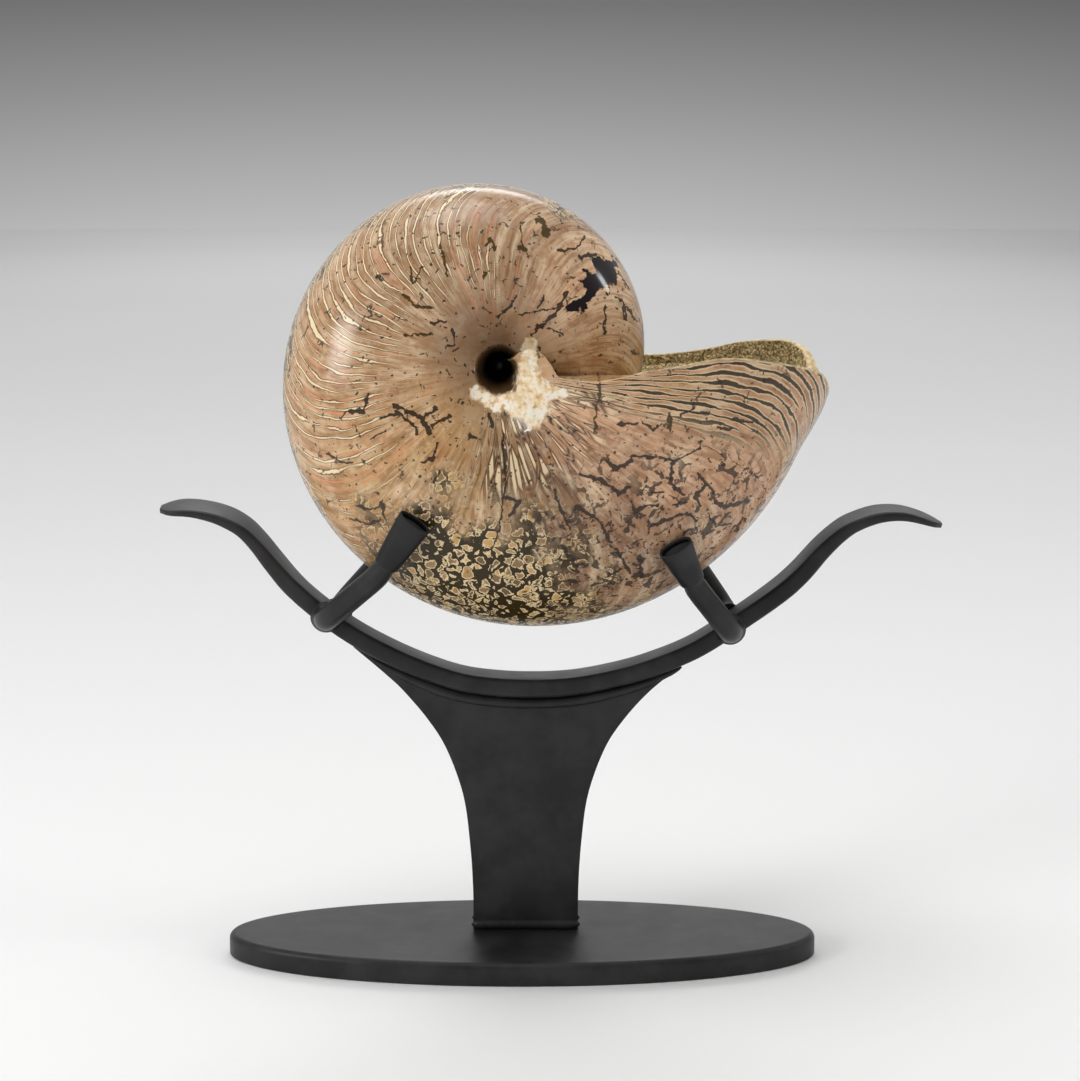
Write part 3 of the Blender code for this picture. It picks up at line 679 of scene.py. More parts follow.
class FossilPainter:
    """Lays the fossil's colours down one after another in a material."""

    def __init__(self, finish: PolishedFossilFinish, wires: Wiring) -> None:
        """Read the shell's attributes once.

        Args:
            finish: the colours.
            wires: the material's wiring.
        """
        self.finish = finish
        self.wires = wires
        self.place = wires.millimetres()
        self.growth = wires.attribute("growth")
        self.coil = wires.attribute("coil")
        self.across = wires.attribute("across")
        self.reach = wires.attribute("reach")
        self.callus = wires.attribute("callus")
        self.lip = wires.attribute("lip")
        self.near = wires.step(wires.separate(self.place)["Y"], 1.0, -1.0)
        side = wires.product(self.near, 300.0)
        self.flow = wires.combine(self.growth, wires.product(self.reach, 0.12), side)
        self.wander = wires.minus(wires.noise(self.place, 0.08, 3.0), 0.5)
        self.loose_coil = wires.scaled(self.wander, 70.0, self.coil)
        self.loose_across = wires.scaled(self.wander, 1.0, self.across)
        self.bent = wires.noise_vector(self.place, 0.4, 1.5, 3.0)
        self.patches = wires.noise(self.place, 0.3, 3.0, 0.6)

    def region(self, low: float, high: float, soft: float, inner: float, outer: float) -> Socket:
        """Mask of a stretch of coil angle and place, with wandering edges.

        Args:
            low: first coil angle in degrees.
            high: last coil angle in degrees.
            soft: half width of its ends.
            inner: place where it starts.
            outer: place where it ends.

        Returns:
            The mask.
        """
        wires = self.wires
        along = wires.between(self.loose_coil, low, high, soft)
        beyond = wires.step(self.loose_across, inner - 0.15, inner + 0.15)
        below = wires.step(self.loose_across, outer + 0.15, outer - 0.15)
        return wires.product(along, beyond, below)

    def ground(self) -> Socket:
        """Ground colour with soft streaks and flakes that follow the growth lines."""
        wires = self.wires
        colour = wires.ramp(wires.over(self.loose_coil, 400.0), self.finish.zone_colours())
        streaked = wires.step(self.reach, 9.0, 27.0)
        broad = wires.noise(wires.vector("MULTIPLY", self.flow, (0.16, 0.55, 1.0)), 1.0, 3.0, 0.55)
        colour = wires.blend(wires.product(wires.step(broad, 0.48, 0.68), streaked, 0.65), colour,
                             srgb(236, 210, 174))
        colour = wires.blend(wires.product(wires.step(broad, 0.48, 0.3), 0.4), colour, srgb(150, 112, 78))
        fine = wires.noise(wires.vector("MULTIPLY", self.flow, (0.55, 1.2, 1.0)), 1.0, 3.0, 0.62)
        dark = wires.blend(1.0, colour, srgb(188, 160, 132), "MULTIPLY")
        colour = wires.blend(wires.product(wires.step(fine, 0.58, 0.36), streaked, 0.7), colour, dark)
        pale = wires.product(wires.step(self.patches, 0.53, 0.6), 0.2)
        colour = wires.blend(pale, colour, srgb(240, 216, 182))
        tan = wires.product(wires.step(self.patches, 0.46, 0.34), 0.45)
        colour = wires.blend(tan, colour, srgb(172, 120, 72))
        band = wires.step(self.across, 2.72, 2.86)
        colour = wires.blend(wires.product(band, 0.5), colour, srgb(116, 90, 66))
        navel = wires.step(wires.scaled(self.wander, 10.0, self.reach), 24.0, 7.0)
        upper = wires.step(self.coil, 290.0, 235.0)
        colour = wires.blend(wires.product(navel, upper, 0.6), colour, srgb(120, 88, 58))
        # Partly the dome's own brown, partly painted shade of the hollow beside the stem.
        hollow_shade = wires.product(wires.step(self.coil, -1.0, -5.0), wires.step(self.reach, 24.0, 17.0),
                             self.near)
        colour = wires.blend(wires.product(hollow_shade, 0.85), colour, srgb(124, 90, 54))
        # Darker brown down the navel funnel wall, then painted shade to near black at its floor.
        colour = wires.blend(wires.step(self.across, 0.98, 0.7), colour, srgb(80, 58, 32))
        return wires.blend(wires.step(self.across, 0.72, 0.2), colour, srgb(12, 9, 5))

    def rib_lines(self, period: float, seed: float, thin: float, mask: Socket,
                  share: float, rim: float = 0.08) -> tuple[Socket, Socket]:
        """Thin lines along the growth lines, each between two edges.

        Args:
            period: mean spacing in degrees.
            seed: shift that gives another set of lines.
            thin: half width as a share of the spacing.
            mask: where the lines may be.
            share: share of the lines that are there at all.
            rim: width of an edge as a share of the spacing.

        Returns:
            Masks of the line itself and of its band with both edges.
        """
        wires = self.wires
        drift = wires.noise(wires.combine(wires.product(self.growth, 0.1), seed,
                                          wires.product(self.reach, 0.05)), 1.0, 2.0)
        turns = wires.scaled(self.growth, 1.0 / period, wires.product(drift, 2.6))
        turns = wires.scaled(self.patches, 0.45, turns)
        line_id = wires.math("FLOOR", turns)
        offset = wires.minus(wires.math("FRACT", turns), 0.45)
        pick = wires.node("ShaderNodeTexWhiteNoise", noise_dimensions="2D")
        wires.feed(pick.inputs["Vector"], wires.combine(line_id, seed, 0.0))
        chosen = wires.step(pick.outputs["Value"], 1.0 - share, 1.02 - share)
        along = wires.noise(wires.combine(wires.product(line_id, 7.3),
                                          wires.product(self.reach, 0.13), seed), 1.0, 2.0)
        width = wires.product(wires.spread(along, 0.3, 0.62, 0.0, 1.25), thin)
        miss = wires.math("ABSOLUTE", offset)
        there = wires.product(wires.step(width, 0.08 * thin, 0.3 * thin), wires.product(chosen, mask))
        line = wires.step(miss, wires.plus(width, 0.012), wires.product(width, 0.7))
        edge = wires.step(miss, wires.plus(width, rim + 0.015), wires.plus(width, rim - 0.03))
        return wires.product(line, there), wires.product(edge, there)

    def cracks(self, scale: float, width: float, amount: float, seed: float,
               mask: Socket) -> Socket:
        """Broken network of branching cracks.

        Args:
            scale: cells per millimetre.
            width: half width of a crack, as a share of a cell.
            amount: share of the network that is there.
            seed: shift that gives another network.
            mask: where the cracks may be.

        Returns:
            The mask of the cracks.
        """
        wires = self.wires
        moved = wires.vector("ADD", self.bent, (seed, seed * 0.7, seed * 1.3))
        edge = wires.cells(moved, scale)["Distance"]
        here = wires.noise(moved, 1.3 * scale, 2.0, 0.5)
        swell = wires.step(here, 1.0 - amount - 0.05, 1.0 - amount + 0.08)
        reach = wires.product(swell, width)
        line = wires.step(edge, wires.plus(reach, 0.012), wires.product(reach, 0.75))
        return wires.product(line, wires.step(swell, 0.02, 0.2), mask)

    def dots(self, scale: float, size: float, share: float) -> Socket:
        """Scattered small dark specks.

        Args:
            scale: cells per millimetre.
            size: largest reach of a speck, as a share of a cell.
            share: share of the cells that have a speck.

        Returns:
            The mask of the specks.
        """
        wires = self.wires
        spots = wires.cells(self.bent, scale, "F1")
        chance, bulk, _ = wires.channels(spots["Color"])
        there = wires.step(chance, 1.0 - share, 1.02 - share)
        bulk = wires.spread(bulk, 0.0, 1.0, 0.45 * size, size)
        return wires.product(there, wires.step(spots["Distance"], bulk, wires.product(bulk, 0.6)))

    def mosaic(self, colour: Socket, mask: Socket) -> Socket:
        """Cells of tan stone outlined in cream, with dark olive stone between them.

        Args:
            colour: the layers below.
            mask: where the cells are.

        Returns:
            The colour with the cells laid over it.
        """
        wires = self.wires
        edge = wires.cells(self.bent, 0.34)["Distance"]
        tint = wires.channels(wires.cells(self.bent, 0.34, "F1")["Color"])[0]
        cell = wires.ramp(tint, ((0.0, srgb(104, 82, 56)), (0.35, srgb(136, 108, 74)),
                                 (0.7, srgb(166, 132, 88)), (1.0, srgb(208, 164, 96))))
        gap = wires.spread(self.patches, 0.38, 0.64, 0.02, 0.28)
        rim = wires.product(wires.step(edge, wires.plus(gap, 0.13), wires.plus(gap, 0.08)),
                            wires.step(self.patches, 0.26, 0.34))
        ring = wires.product(wires.between(edge, 0.27, 0.29, 0.02), wires.step(tint, 0.5, 0.55))
        cell = wires.blend(wires.product(ring, 0.6), cell, self.finish.cream)
        cell = wires.blend(wires.product(rim, 0.9), cell, self.finish.cream)
        dark = wires.step(edge, wires.plus(gap, 0.015), wires.minus(gap, 0.02))
        cell = wires.blend(dark, cell, self.finish.olive)
        return wires.blend(mask, colour, cell)

    def spikes(self, colour: Socket) -> Socket:
        """Cream needles that radiate down and to the right from the callus.

        Args:
            colour: the layers below.

        Returns:
            The colour with the needles laid over it.
        """
        wires = self.wires
        grid = wires.combine(wires.product(self.growth, 0.34), wires.product(self.reach, 0.1), 4.0)
        cells = wires.cells(grid, 1.0)["Distance"]
        pick = wires.channels(wires.cells(grid, 1.0, "F1")["Color"])[0]
        here = wires.product(wires.between(self.coil, 255.0, 352.0, 8.0),
                             wires.between(self.reach, 9.0, 31.0, 5.0),
                             wires.step(self.callus, 0.6, 0.2), self.near)
        there = wires.product(here, wires.step(pick, 0.4, 0.44))
        body = wires.product(there, wires.step(cells, 0.15, 0.21))
        edge = wires.product(here, wires.step(pick, 0.26, 0.3), wires.between(cells, 0.03, 0.12, 0.03))
        colour = wires.blend(wires.product(edge, 0.8), colour, self.finish.umber)
        return wires.blend(wires.product(body, 0.85), colour, srgb(238, 216, 176))

    def single_marks(self) -> dict[MarkKind, Socket]:
        """Masks of the strokes that are placed one by one, by kind."""
        wires = self.wires
        stroke = stroke_group()
        origin = (1000 * self.finish.coil_x, 0.0, 1000 * self.finish.coil_z)
        shaken = wires.vector("SUBTRACT", wires.noise_vector(self.place, 0.55, 1.1, 3.0), origin)
        thinning = wires.spread(wires.noise(self.place, 0.5, 2.0), 0.32, 0.66, 1.9, 0.65)
        flat = wires.vector("MULTIPLY", shaken, (1.0, 0.0, 1.0))
        masks: dict[MarkKind, Socket] = {}
        for mark in SINGLE_MARKS:
            for start, end in zip(mark.path, mark.path[1:]):
                drawn = wires.group(stroke, position=flat, start=(start[0], 0.0, start[1]),
                                    end=(end[0], 0.0, end[1]), thinning=thinning, width=mark.width)["Mask"]
                masks[mark.kind] = wires.most(masks[mark.kind], drawn) if mark.kind in masks else drawn
        return {kind: wires.product(mask, self.near) for kind, mask in masks.items()}

    def paint(self) -> tuple[Socket, Socket, Socket]:
        """Lay down every layer.

        Returns:
            Base colour, mattness and height.
        """
        wires = self.wires
        finish = self.finish
        colour = self.ground()

        glow = self.region(30.0, 235.0, 18.0, 1.5, 2.6)
        thin_line, _ = self.rib_lines(2.1, 3.0, 0.09, glow, 0.22)
        colour = wires.blend(wires.product(thin_line, 0.8), colour, finish.rust)

        bottom = self.region(234.0, 294.0, 10.0, 2.06, 3.2)
        band = wires.product(wires.step(self.loose_across, 2.74, 2.9),
                             wires.between(self.coil, 60.0, 352.0, 12.0))
        colour = self.mosaic(colour, wires.most(bottom, wires.product(band, 0.85)))

        left = self.region(98.0, 224.0, 8.0, 2.0, 2.95)
        line, edge = self.rib_lines(3.3, 11.0, 0.11, left, 0.85)
        colour = wires.blend(wires.product(edge, 0.85), colour, srgb(88, 60, 32))
        colour = wires.blend(line, colour, srgb(240, 220, 180))

        fan = wires.product(wires.between(self.coil, 345.0, 420.0, 4.0), wires.step(self.reach, 12.0, 17.0),
                            wires.step(self.across, 2.96, 2.86))
        line, edge = self.rib_lines(2.2, 23.0, 0.22, fan, 0.96, 0.12)
        colour = wires.blend(wires.product(edge, 0.85), colour, srgb(232, 204, 160))
        colour = wires.blend(wires.product(line, 0.95), colour, srgb(42, 26, 13))
        colour = self.spikes(colour)

        lower_right = self.region(286.0, 340.0, 10.0, 2.05, 3.2)
        quiet = wires.product(wires.step(bottom, 0.8, 0.3), wires.step(self.reach, 7.0, 10.0))
        dark = self.cracks(0.2, 0.13, 0.44, 17.0, lower_right)
        dark = wires.most(dark, self.cracks(0.4, 0.13, 0.4, 5.0, lower_right))
        dark = wires.most(dark, wires.product(self.cracks(0.24, 0.07, 0.37, 31.0, quiet), 0.9))
        colour = wires.blend(wires.product(dark, 0.88), colour, finish.umber)
        dots = wires.product(self.dots(0.6, 0.32, 0.66), wires.step(self.patches, 0.38, 0.48))
        colour = wires.blend(wires.product(dots, 0.9), colour, srgb(40, 28, 24))

        marks = self.single_marks()
        colour = wires.blend(wires.product(marks[CRACK], 0.94), colour, finish.umber)
        colour = wires.blend(wires.product(marks[OLIVE], 0.95), colour, srgb(66, 50, 10))
        colour = wires.blend(marks[GLASS], colour, finish.glass)

        chalk = wires.noise(self.place, 0.6, 4.0, 0.58)
        ragged = wires.minus(chalk, 0.5)
        callus = wires.step(wires.scaled(ragged, 0.7, self.callus), 0.3, 0.62)
        chalk_colour = wires.ramp(chalk, (
            (0.32, srgb(202, 162, 112)), (0.43, srgb(229, 200, 154)), (0.54, srgb(243, 223, 188)),
            (0.66, srgb(250, 241, 224))))
        white = wires.product(marks[CHALK], wires.step(chalk, 0.32, 0.52))
        chalk_colour = wires.blend(wires.product(white, 0.75), chalk_colour, finish.white)
        colour = wires.blend(wires.product(wires.most(callus, white), 0.92), colour, chalk_colour)
        rim = wires.step(wires.scaled(ragged, 0.4, self.lip), 0.35, 0.6)
        rim_colour = wires.blend(wires.step(chalk, 0.4, 0.6), srgb(200, 176, 138), finish.cream)
        colour = wires.blend(rim, colour, rim_colour)
        matte = wires.most(wires.product(callus, 0.8), wires.product(rim, 0.8))
        return colour, matte, wires.product(callus, wires.scaled(chalk, 0.5, 0.5))


def stroke_group() -> Tree:
    """Build the group that draws one straight stroke on the flank."""
    wires, given, wanted = new_group(
        "flank stroke", "ShaderNodeTree",
        (("Position", VECTOR), ("Start", VECTOR), ("End", VECTOR), ("Thinning", FLOAT), ("Width", FLOAT)),
        (("Mask", FLOAT),))
    from_start = wires.vector("SUBTRACT", given["Position"], given["Start"])
    run = wires.vector("SUBTRACT", given["End"], given["Start"])
    share = wires.held(wires.over(wires.vector("DOT_PRODUCT", from_start, run),
                                  wires.vector("DOT_PRODUCT", run, run)))
    nearest = wires.vector("SCALE", run, scale=share)
    miss = wires.vector("LENGTH", wires.vector("SUBTRACT", from_start, nearest))
    miss = wires.product(miss, given["Thinning"])
    wires.feed(wanted["Mask"], wires.step(miss, given["Width"], wires.product(given["Width"], 0.7)))
    return wires.tree


@dataclass
class FossilShell:
    """The coiled shell with the stone in its mouth."""

    coil_x: float = -6.83 * MM
    coil_z: float = 165.45 * MM
    start_radius: float = 38.7 * MM
    growth_per_radian: float = 0.1297
    breadth_share: float = 0.52
    flat_share: float = 0.42
    flank_power: float = 2.2
    dish: float = 0.18
    navel_radius: float = 7.0 * MM
    floor_radius: float = 3.2 * MM
    floor_depth: float = 8.0 * MM
    rim_fade: float = 1.2
    dome_fade: float = 1.5
    dome_lead: float = -9.0
    lip_flare: float = 2.5 * MM
    lip_flare_span: float = math.radians(13)
    angle_steps: int = 400
    funnel_steps: int = 14
    inner_steps: int = 26
    outer_steps: int = 50
    mouth_steps: int = 26
    grain_size: float = 0.42 * MM
    grain_density: float = 0.9e6
    grain_seed: int = 5
    stone_roughness: float = 0.7 * MM
    stone_drop: float = 5.0 * MM
    band_rows: float = 0.12
    lip_edge: float = 0.012
    near_lead: tuple = ((0, 48), (1.0, 48), (1.12, 40), (1.3, -2), (1.55, -3), (1.8, -0.5), (2.1, 3.6),
                        (2.22, 4.7), (2.42, 2.6), (2.55, 1.2), (2.7, -0.6), (2.85, -3.8), (3.0, -5.4))
    far_lead: tuple = ((0, 48), (1.0, 48), (1.12, 40), (1.3, -2), (1.75, -3.2), (2.03, -2.4), (2.25, 0.1),
                       (2.42, 2.4), (2.58, 2.8), (2.7, 1.6), (2.85, -2.6), (3.0, -5.4))
    lip_band: tuple = ((0, 0.02), (2.0, 0.012), (2.6, 0.012), (2.75, 0.03), (2.88, 0.07), (3.0, 0.09))
    stone_from: tuple[float, float] = (2.28, 1.7)
    callus_strokes: tuple = (((8.6, 6.8), (7.7, 2.4), 1.6, 2.4), ((7.7, 2.4), (8.3, -3.2), 2.4, 3.6),
                             ((8.3, -3.2), (9.0, -8.6), 3.7, 3.9), ((9.0, -8.6), (9.4, -12.6), 3.6, 1.6),
                             ((6.5, -6.4), (-0.5, -8.4), 2.4, 1.6), ((-0.5, -8.4), (-5.5, -5.5), 1.6, 1.6),
                             ((9.4, -4.4), (17.0, -4.4), 2.8, 1.1), ((5.4, -7.0), (4.4, -10.0), 2.4, 1.5))
    growth_bend: tuple = ((0, 0), (2.25, 0), (2.42, 2.0), (2.6, 7.0), (2.82, 15.5), (3.0, 24.0))

    def places(self) -> np.ndarray:
        """Return the places across one side of a section, from navel floor to back."""
        funnel = np.linspace(0.12, 1.0, self.funnel_steps, endpoint=False)
        inner = np.linspace(1.0, 2.0, self.inner_steps, endpoint=False)
        outer = np.linspace(2.0, 3.0, self.outer_steps + 1)
        return np.concatenate((funnel, inner, outer))

    def skin_angles(self) -> np.ndarray:
        """Return coil angles that cut the last turn into equal lengths of back."""
        share = np.linspace(0, 1, self.angle_steps + 1)
        full = math.exp(self.growth_per_radian * TURN) - 1
        return np.log1p(share * full) / self.growth_per_radian

    def grid(self) -> dict[str, np.ndarray]:
        """Work out the numbers that place each vertex.

        Returns:
            Arrays of rows by columns: the two coil angles that a vertex lies
            between, the share of the second, its place, its side and its drop.
        """
        half = self.places()
        place = np.concatenate((half, half[-2::-1]))
        side = np.concatenate((-np.ones(len(half)), np.ones(len(half) - 1)))
        near, far = (smooth_through(stations, place) for stations in (self.near_lead, self.far_lead))
        lead = np.radians(np.where(side < 0, near, far))
        skin = self.skin_angles()[:, None]
        at_lip = ease((skin - (TURN - self.rim_fade)) / self.rim_fade)
        at_dome = ease((self.dome_fade - skin) / self.dome_fade)
        first = skin + lead * at_lip + (lead + math.radians(self.dome_lead)) * at_dome

        band = smooth_through(self.lip_band, place)
        rows = np.linspace(0, 1, self.mouth_steps + 1)[1:-1, None]
        past = np.maximum(rows - self.band_rows, 0) / (1 - self.band_rows)
        share = np.where(rows < self.band_rows, band * rows / self.band_rows,
                         band + (1 - band) * past ** 1.5)
        past_band = ease((share - band) / 0.05)
        clear_of_navel = ease((place - 1.02) / 0.35)
        drop = -self.stone_drop * past_band * (1 - share) * clear_of_navel
        mouth_first = np.broadcast_to(first[-1], share.shape)
        mouth_second = np.broadcast_to(first[0], share.shape)

        flat = np.zeros_like(first)
        flare = ease((skin - (TURN - self.lip_flare_span)) / self.lip_flare_span)
        flare = flare * ease((place - 2.3) / 0.5) * self.lip_flare
        return {
            "angle_a": np.concatenate((first, mouth_first)),
            "angle_b": np.concatenate((first, mouth_second)),
            "share": np.concatenate((flat, share)),
            "drop": np.concatenate((flat, drop)),
            "flare": np.concatenate((flare, np.broadcast_to(flare[-1], share.shape))),
            "place": np.broadcast_to(place, (len(first) + len(share), len(place))),
            "side": np.broadcast_to(side, (len(first) + len(share), len(place))),
            "skin_rows": np.concatenate((np.ones_like(first), np.zeros_like(share))),
            "past_band": np.concatenate((flat, past_band)),
        }

    def distances(self, angle: np.ndarray, place: np.ndarray) -> np.ndarray:
        """Return how far points of the skin are from the coiling axis.

        Args:
            angle: coil angles in radians.
            place: places across the section.

        Returns:
            The distances in metres.
        """
        radius = self.start_radius * np.exp(self.growth_per_radian * angle)
        flat = self.flat_share * radius
        rise = np.sin(np.clip(place - 2, 0, 1) * math.pi / 2) ** (2 / self.flank_power)
        outer = flat + (radius - flat) * rise
        inner = flat + (self.navel_radius - flat) * np.clip(2 - place, 0, 1)
        turn = np.clip(place, 0, 1) * math.pi / 2
        funnel = self.floor_radius + (self.navel_radius - self.floor_radius) * (1 - np.cos(turn))
        return np.where(place >= 2, outer, np.where(place >= 1, inner, funnel))

    def paint_guides(self, grid: dict[str, np.ndarray]) -> dict[str, np.ndarray]:
        """Work out the numbers that the material reads.

        Args:
            grid: the numbers that place each vertex.

        Returns:
            Arrays for the attributes growth, coil, across, reach, lip and callus.
        """
        angle, place = grid["angle_a"], grid["place"]
        coil = np.degrees(angle)
        bend = smooth_through(self.growth_bend, place)
        reach = self.distances(angle, place) / MM
        x = reach * np.cos(angle)
        z = reach * np.sin(angle)
        callus = np.zeros_like(x)
        for (x0, z0), (x1, z1), width0, width1 in self.callus_strokes:
            dx, dz = x1 - x0, z1 - z0
            share = np.clip(((x - x0) * dx + (z - z0) * dz) / (dx ** 2 + dz ** 2), 0, 1)
            miss = np.hypot(x - x0 - share * dx, z - z0 - share * dz)
            callus = np.maximum(callus, 0.5 ** ((miss / (width0 + share * (width1 - width0))) ** 2))
        from_lip = (TURN - self.skin_angles()[:, None]) * np.ones(place.shape[1])
        lip = np.zeros_like(coil)
        lip[:len(from_lip)] = np.clip(1 - from_lip / self.lip_edge, 0, 1)
        on_skin = grid["skin_rows"] > 0.5
        lip = np.where(on_skin, lip, np.clip(1 - 6 * grid["past_band"], 0, 1))
        growth = np.where(on_skin, coil + bend, 40 * grid["share"])
        return {"growth": growth, "coil": np.where(on_skin, coil, -10.0), "across": place, "reach": reach,
                "lip": lip, "callus": callus}

    def build(self, skin: Material, stone: Material) -> Item:
        """Make the shell.

        Args:
            skin: material of the polished shell.
            stone: material of the rock in the mouth.

        Returns:
            The finished object.
        """
        grid = self.grid()
        guides = self.paint_guides(grid)
        rows, columns = grid["place"].shape
        corners = rows * columns
        index = np.arange(corners).reshape(rows, columns)
        following = np.roll(index, -1, axis=0)
        quads = np.stack((index[:, :-1], index[:, 1:], following[:, 1:], following[:, :-1]), axis=-1)
        caps = []
        for pole, column in ((corners, 0), (corners + 1, columns - 1)):
            ends = np.stack((index[:, column], following[:, column], np.full(rows, pole)), axis=-1)
            caps.append(ends if column == 0 else ends[:, ::-1])
        faces = quads.reshape(-1, 4).tolist() + np.concatenate(caps).tolist()
        mesh = bpy.data.meshes.new("nautilus_fossil")
        mesh.from_pydata([(0.0, 0.0, 0.0)] * (corners + 2), [], faces)
        poles = {"place": (0.0, 0.0), "side": (-1.0, 1.0)}
        for name, values in {**grid, **guides}.items():
            ends = poles.get(name, (float(values[0, 0]), float(values[0, -1])))
            attribute = mesh.attributes.new(name, "FLOAT", "POINT")
            attribute.data.foreach_set("value", np.append(values.ravel(), ends).astype(np.float32))
        in_mouth = ((grid["past_band"] + np.roll(grid["past_band"], -1, axis=0)) > 0.12)
        in_mouth &= grid["place"] > np.where(grid["side"] < 0, *self.stone_from)
        quad_mouth = in_mouth[:, :-1] & in_mouth[:, 1:]
        slots = np.append(quad_mouth.ravel(), np.zeros(2 * rows, dtype=bool)).astype(np.int32)
        mesh.polygons.foreach_set("material_index", slots)
        item = scene_object("nautilus_shell", mesh, skin, stone)
        sizes = {key: getattr(self, key) for key in (size.lower().replace(" ", "_") for size in COIL_SIZES)}
        run_tree(item, coiling_tree(), roughness=self.stone_roughness, **sizes)
        self.outward(item)
        for name in grid:
            item.data.attributes.remove(item.data.attributes[name])
        smooth_shade(item.data, 60.0)
        return item

    def build_grains(self, shell: Item, stone: Material) -> Item:
        """Strew loose grains over the rock in the mouth.

        Args:
            shell: the finished shell, whose second material is the rock.
            stone: material of the grains.

        Returns:
            The finished object.
        """
        mesh = shell.data.copy()
        mesh.name = "mouth_grains"
        builder = bmesh.new()
        builder.from_mesh(mesh)
        skin = [face for face in builder.faces if face.material_index == 0]
        bmesh.ops.delete(builder, geom=skin, context="FACES")
        builder.to_mesh(mesh)
        builder.free()
        item = scene_object("mouth_grains", mesh)
        run_tree(item, strewing_tree(), density=self.grain_density, grain_size=self.grain_size,
                 seed=self.grain_seed, finish=stone)
        return item

    @staticmethod
    def outward(item: Item) -> None:
        """Turn the shell's faces outwards."""
        builder = bmesh.new()
        builder.from_mesh(item.data)
        bmesh.ops.recalc_face_normals(builder, faces=builder.faces)
        builder.to_mesh(item.data)
        builder.free()


COIL_SIZES = ("Start Radius", "Growth per Radian", "Breadth Share", "Flat Share", "Flank Power", "Dish",
              "Navel Radius", "Floor Radius", "Floor Depth", "Coil X", "Coil Z")


def whorl_point_group() -> Tree:
    """Build the rule that places a point of the shell from its coil angle and place."""
    wires, given, wanted = new_group(
        "whorl point", "GeometryNodeTree",
        [(name, FLOAT) for name in ("Angle", "Place", "Side", "Flare", *COIL_SIZES)], (("Point", VECTOR),))
    angle, place = given["Angle"], given["Place"]
    swelling = wires.math("EXPONENT", wires.product(given["Growth per Radian"], angle))
    radius = wires.scaled(given["Start Radius"], swelling, given["Flare"])
    breadth = wires.product(given["Breadth Share"], radius)
    flat = wires.product(given["Flat Share"], radius)
    power = wires.over(2.0, given["Flank Power"])
    turn = wires.product(wires.held(wires.minus(place, 2.0)), math.pi / 2)
    rise = wires.math("POWER", wires.most(wires.math("SINE", turn), 0.0), power)
    fall = wires.math("POWER", wires.most(wires.math("COSINE", turn), 0.0), power)
    outer_far = wires.scaled(wires.minus(radius, flat), rise, flat)
    outer_wide = wires.product(breadth, fall)
    share = wires.held(wires.minus(2.0, place))
    inner_far = wires.scaled(wires.minus(given["Navel Radius"], flat), share, flat)
    dished = wires.product(given["Dish"], wires.product(share, share))
    inner_wide = wires.product(breadth, wires.minus(1.0, dished))
    edge = wires.product(breadth, wires.minus(1.0, given["Dish"]))
    depth = wires.minus(edge, given["Floor Depth"])
    span = wires.minus(given["Navel Radius"], given["Floor Radius"])
    curl = wires.product(wires.least(place, 1.0), math.pi / 2)
    opening = wires.minus(1.0, wires.math("COSINE", curl))
    funnel_far = wires.scaled(opening, span, given["Floor Radius"])
    funnel_wide = wires.scaled(wires.math("SINE", curl), depth, given["Floor Depth"])

    def choose(limit: float, low: Input, high: Input) -> Socket:
        """Pick high where the place is past the limit, else low."""
        past = wires.math("GREATER_THAN", place, limit)
        return wires.node("GeometryNodeSwitch", {"Switch": past, "False": low, "True": high},
                          input_type="FLOAT").outputs[0]

    far = choose(1.0, funnel_far, choose(2.0, inner_far, outer_far))
    far = wires.product(far, wires.math("GREATER_THAN", place, 0.01))
    wide = choose(1.0, funnel_wide, choose(2.0, inner_wide, outer_wide))
    x = wires.scaled(far, wires.math("COSINE", angle), given["Coil X"])
    z = wires.scaled(far, wires.math("SINE", angle), given["Coil Z"])
    wires.feed(wanted["Point"], wires.combine(x, wires.product(wide, given["Side"]), z))
    return wires.tree


def coiling_tree() -> Tree:
    """Build the tree that coils a flat grid into the shell and roughens the stone in its mouth."""
    wires, given, wanted = new_group(
        "coil the shell", "GeometryNodeTree",
        [("Geometry", GEOMETRY)] + [(name, FLOAT) for name in (*COIL_SIZES, "Roughness")],
        (("Geometry", GEOMETRY),))

    def stored(name: str) -> Socket:
        """Read a number stored on the grid."""
        reader = wires.node("GeometryNodeInputNamedAttribute", {"Name": name}, data_type="FLOAT")
        return reader.outputs["Attribute"]

    rule = whorl_point_group()
    points = []
    for name in ("angle_a", "angle_b"):
        values = {size: given[size] for size in COIL_SIZES}
        values.update({"Angle": stored(name), "Place": stored("place"), "Side": stored("side")})
        if name == "angle_a":
            values["Flare"] = stored("flare")
        points.append(wires.node("GeometryNodeGroup", values, node_tree=rule).outputs["Point"])
    lean = wires.vector("SCALE", wires.vector("SUBTRACT", points[1], points[0]), scale=stored("share"))
    drop = wires.combine(0.0, 0.0, stored("drop"))
    point = wires.vector("ADD", wires.vector("ADD", points[0], lean), drop)
    coiled = wires.node("GeometryNodeSetPosition", {"Geometry": given["Geometry"], "Position": point})

    position = wires.node("GeometryNodeInputPosition").outputs[0]
    lumps = wires.noise(position, 420.0, 3.0, 0.6)
    height = wires.product(wires.minus(lumps, 0.5), given["Roughness"], 2.0, stored("past_band"))
    roughened = wires.node("GeometryNodeSetPosition", {"Geometry": coiled.outputs[0],
                                                       "Offset": wires.combine(0.0, 0.0, height)})
    wires.feed(wanted["Geometry"], roughened.outputs[0])
    return wires.tree


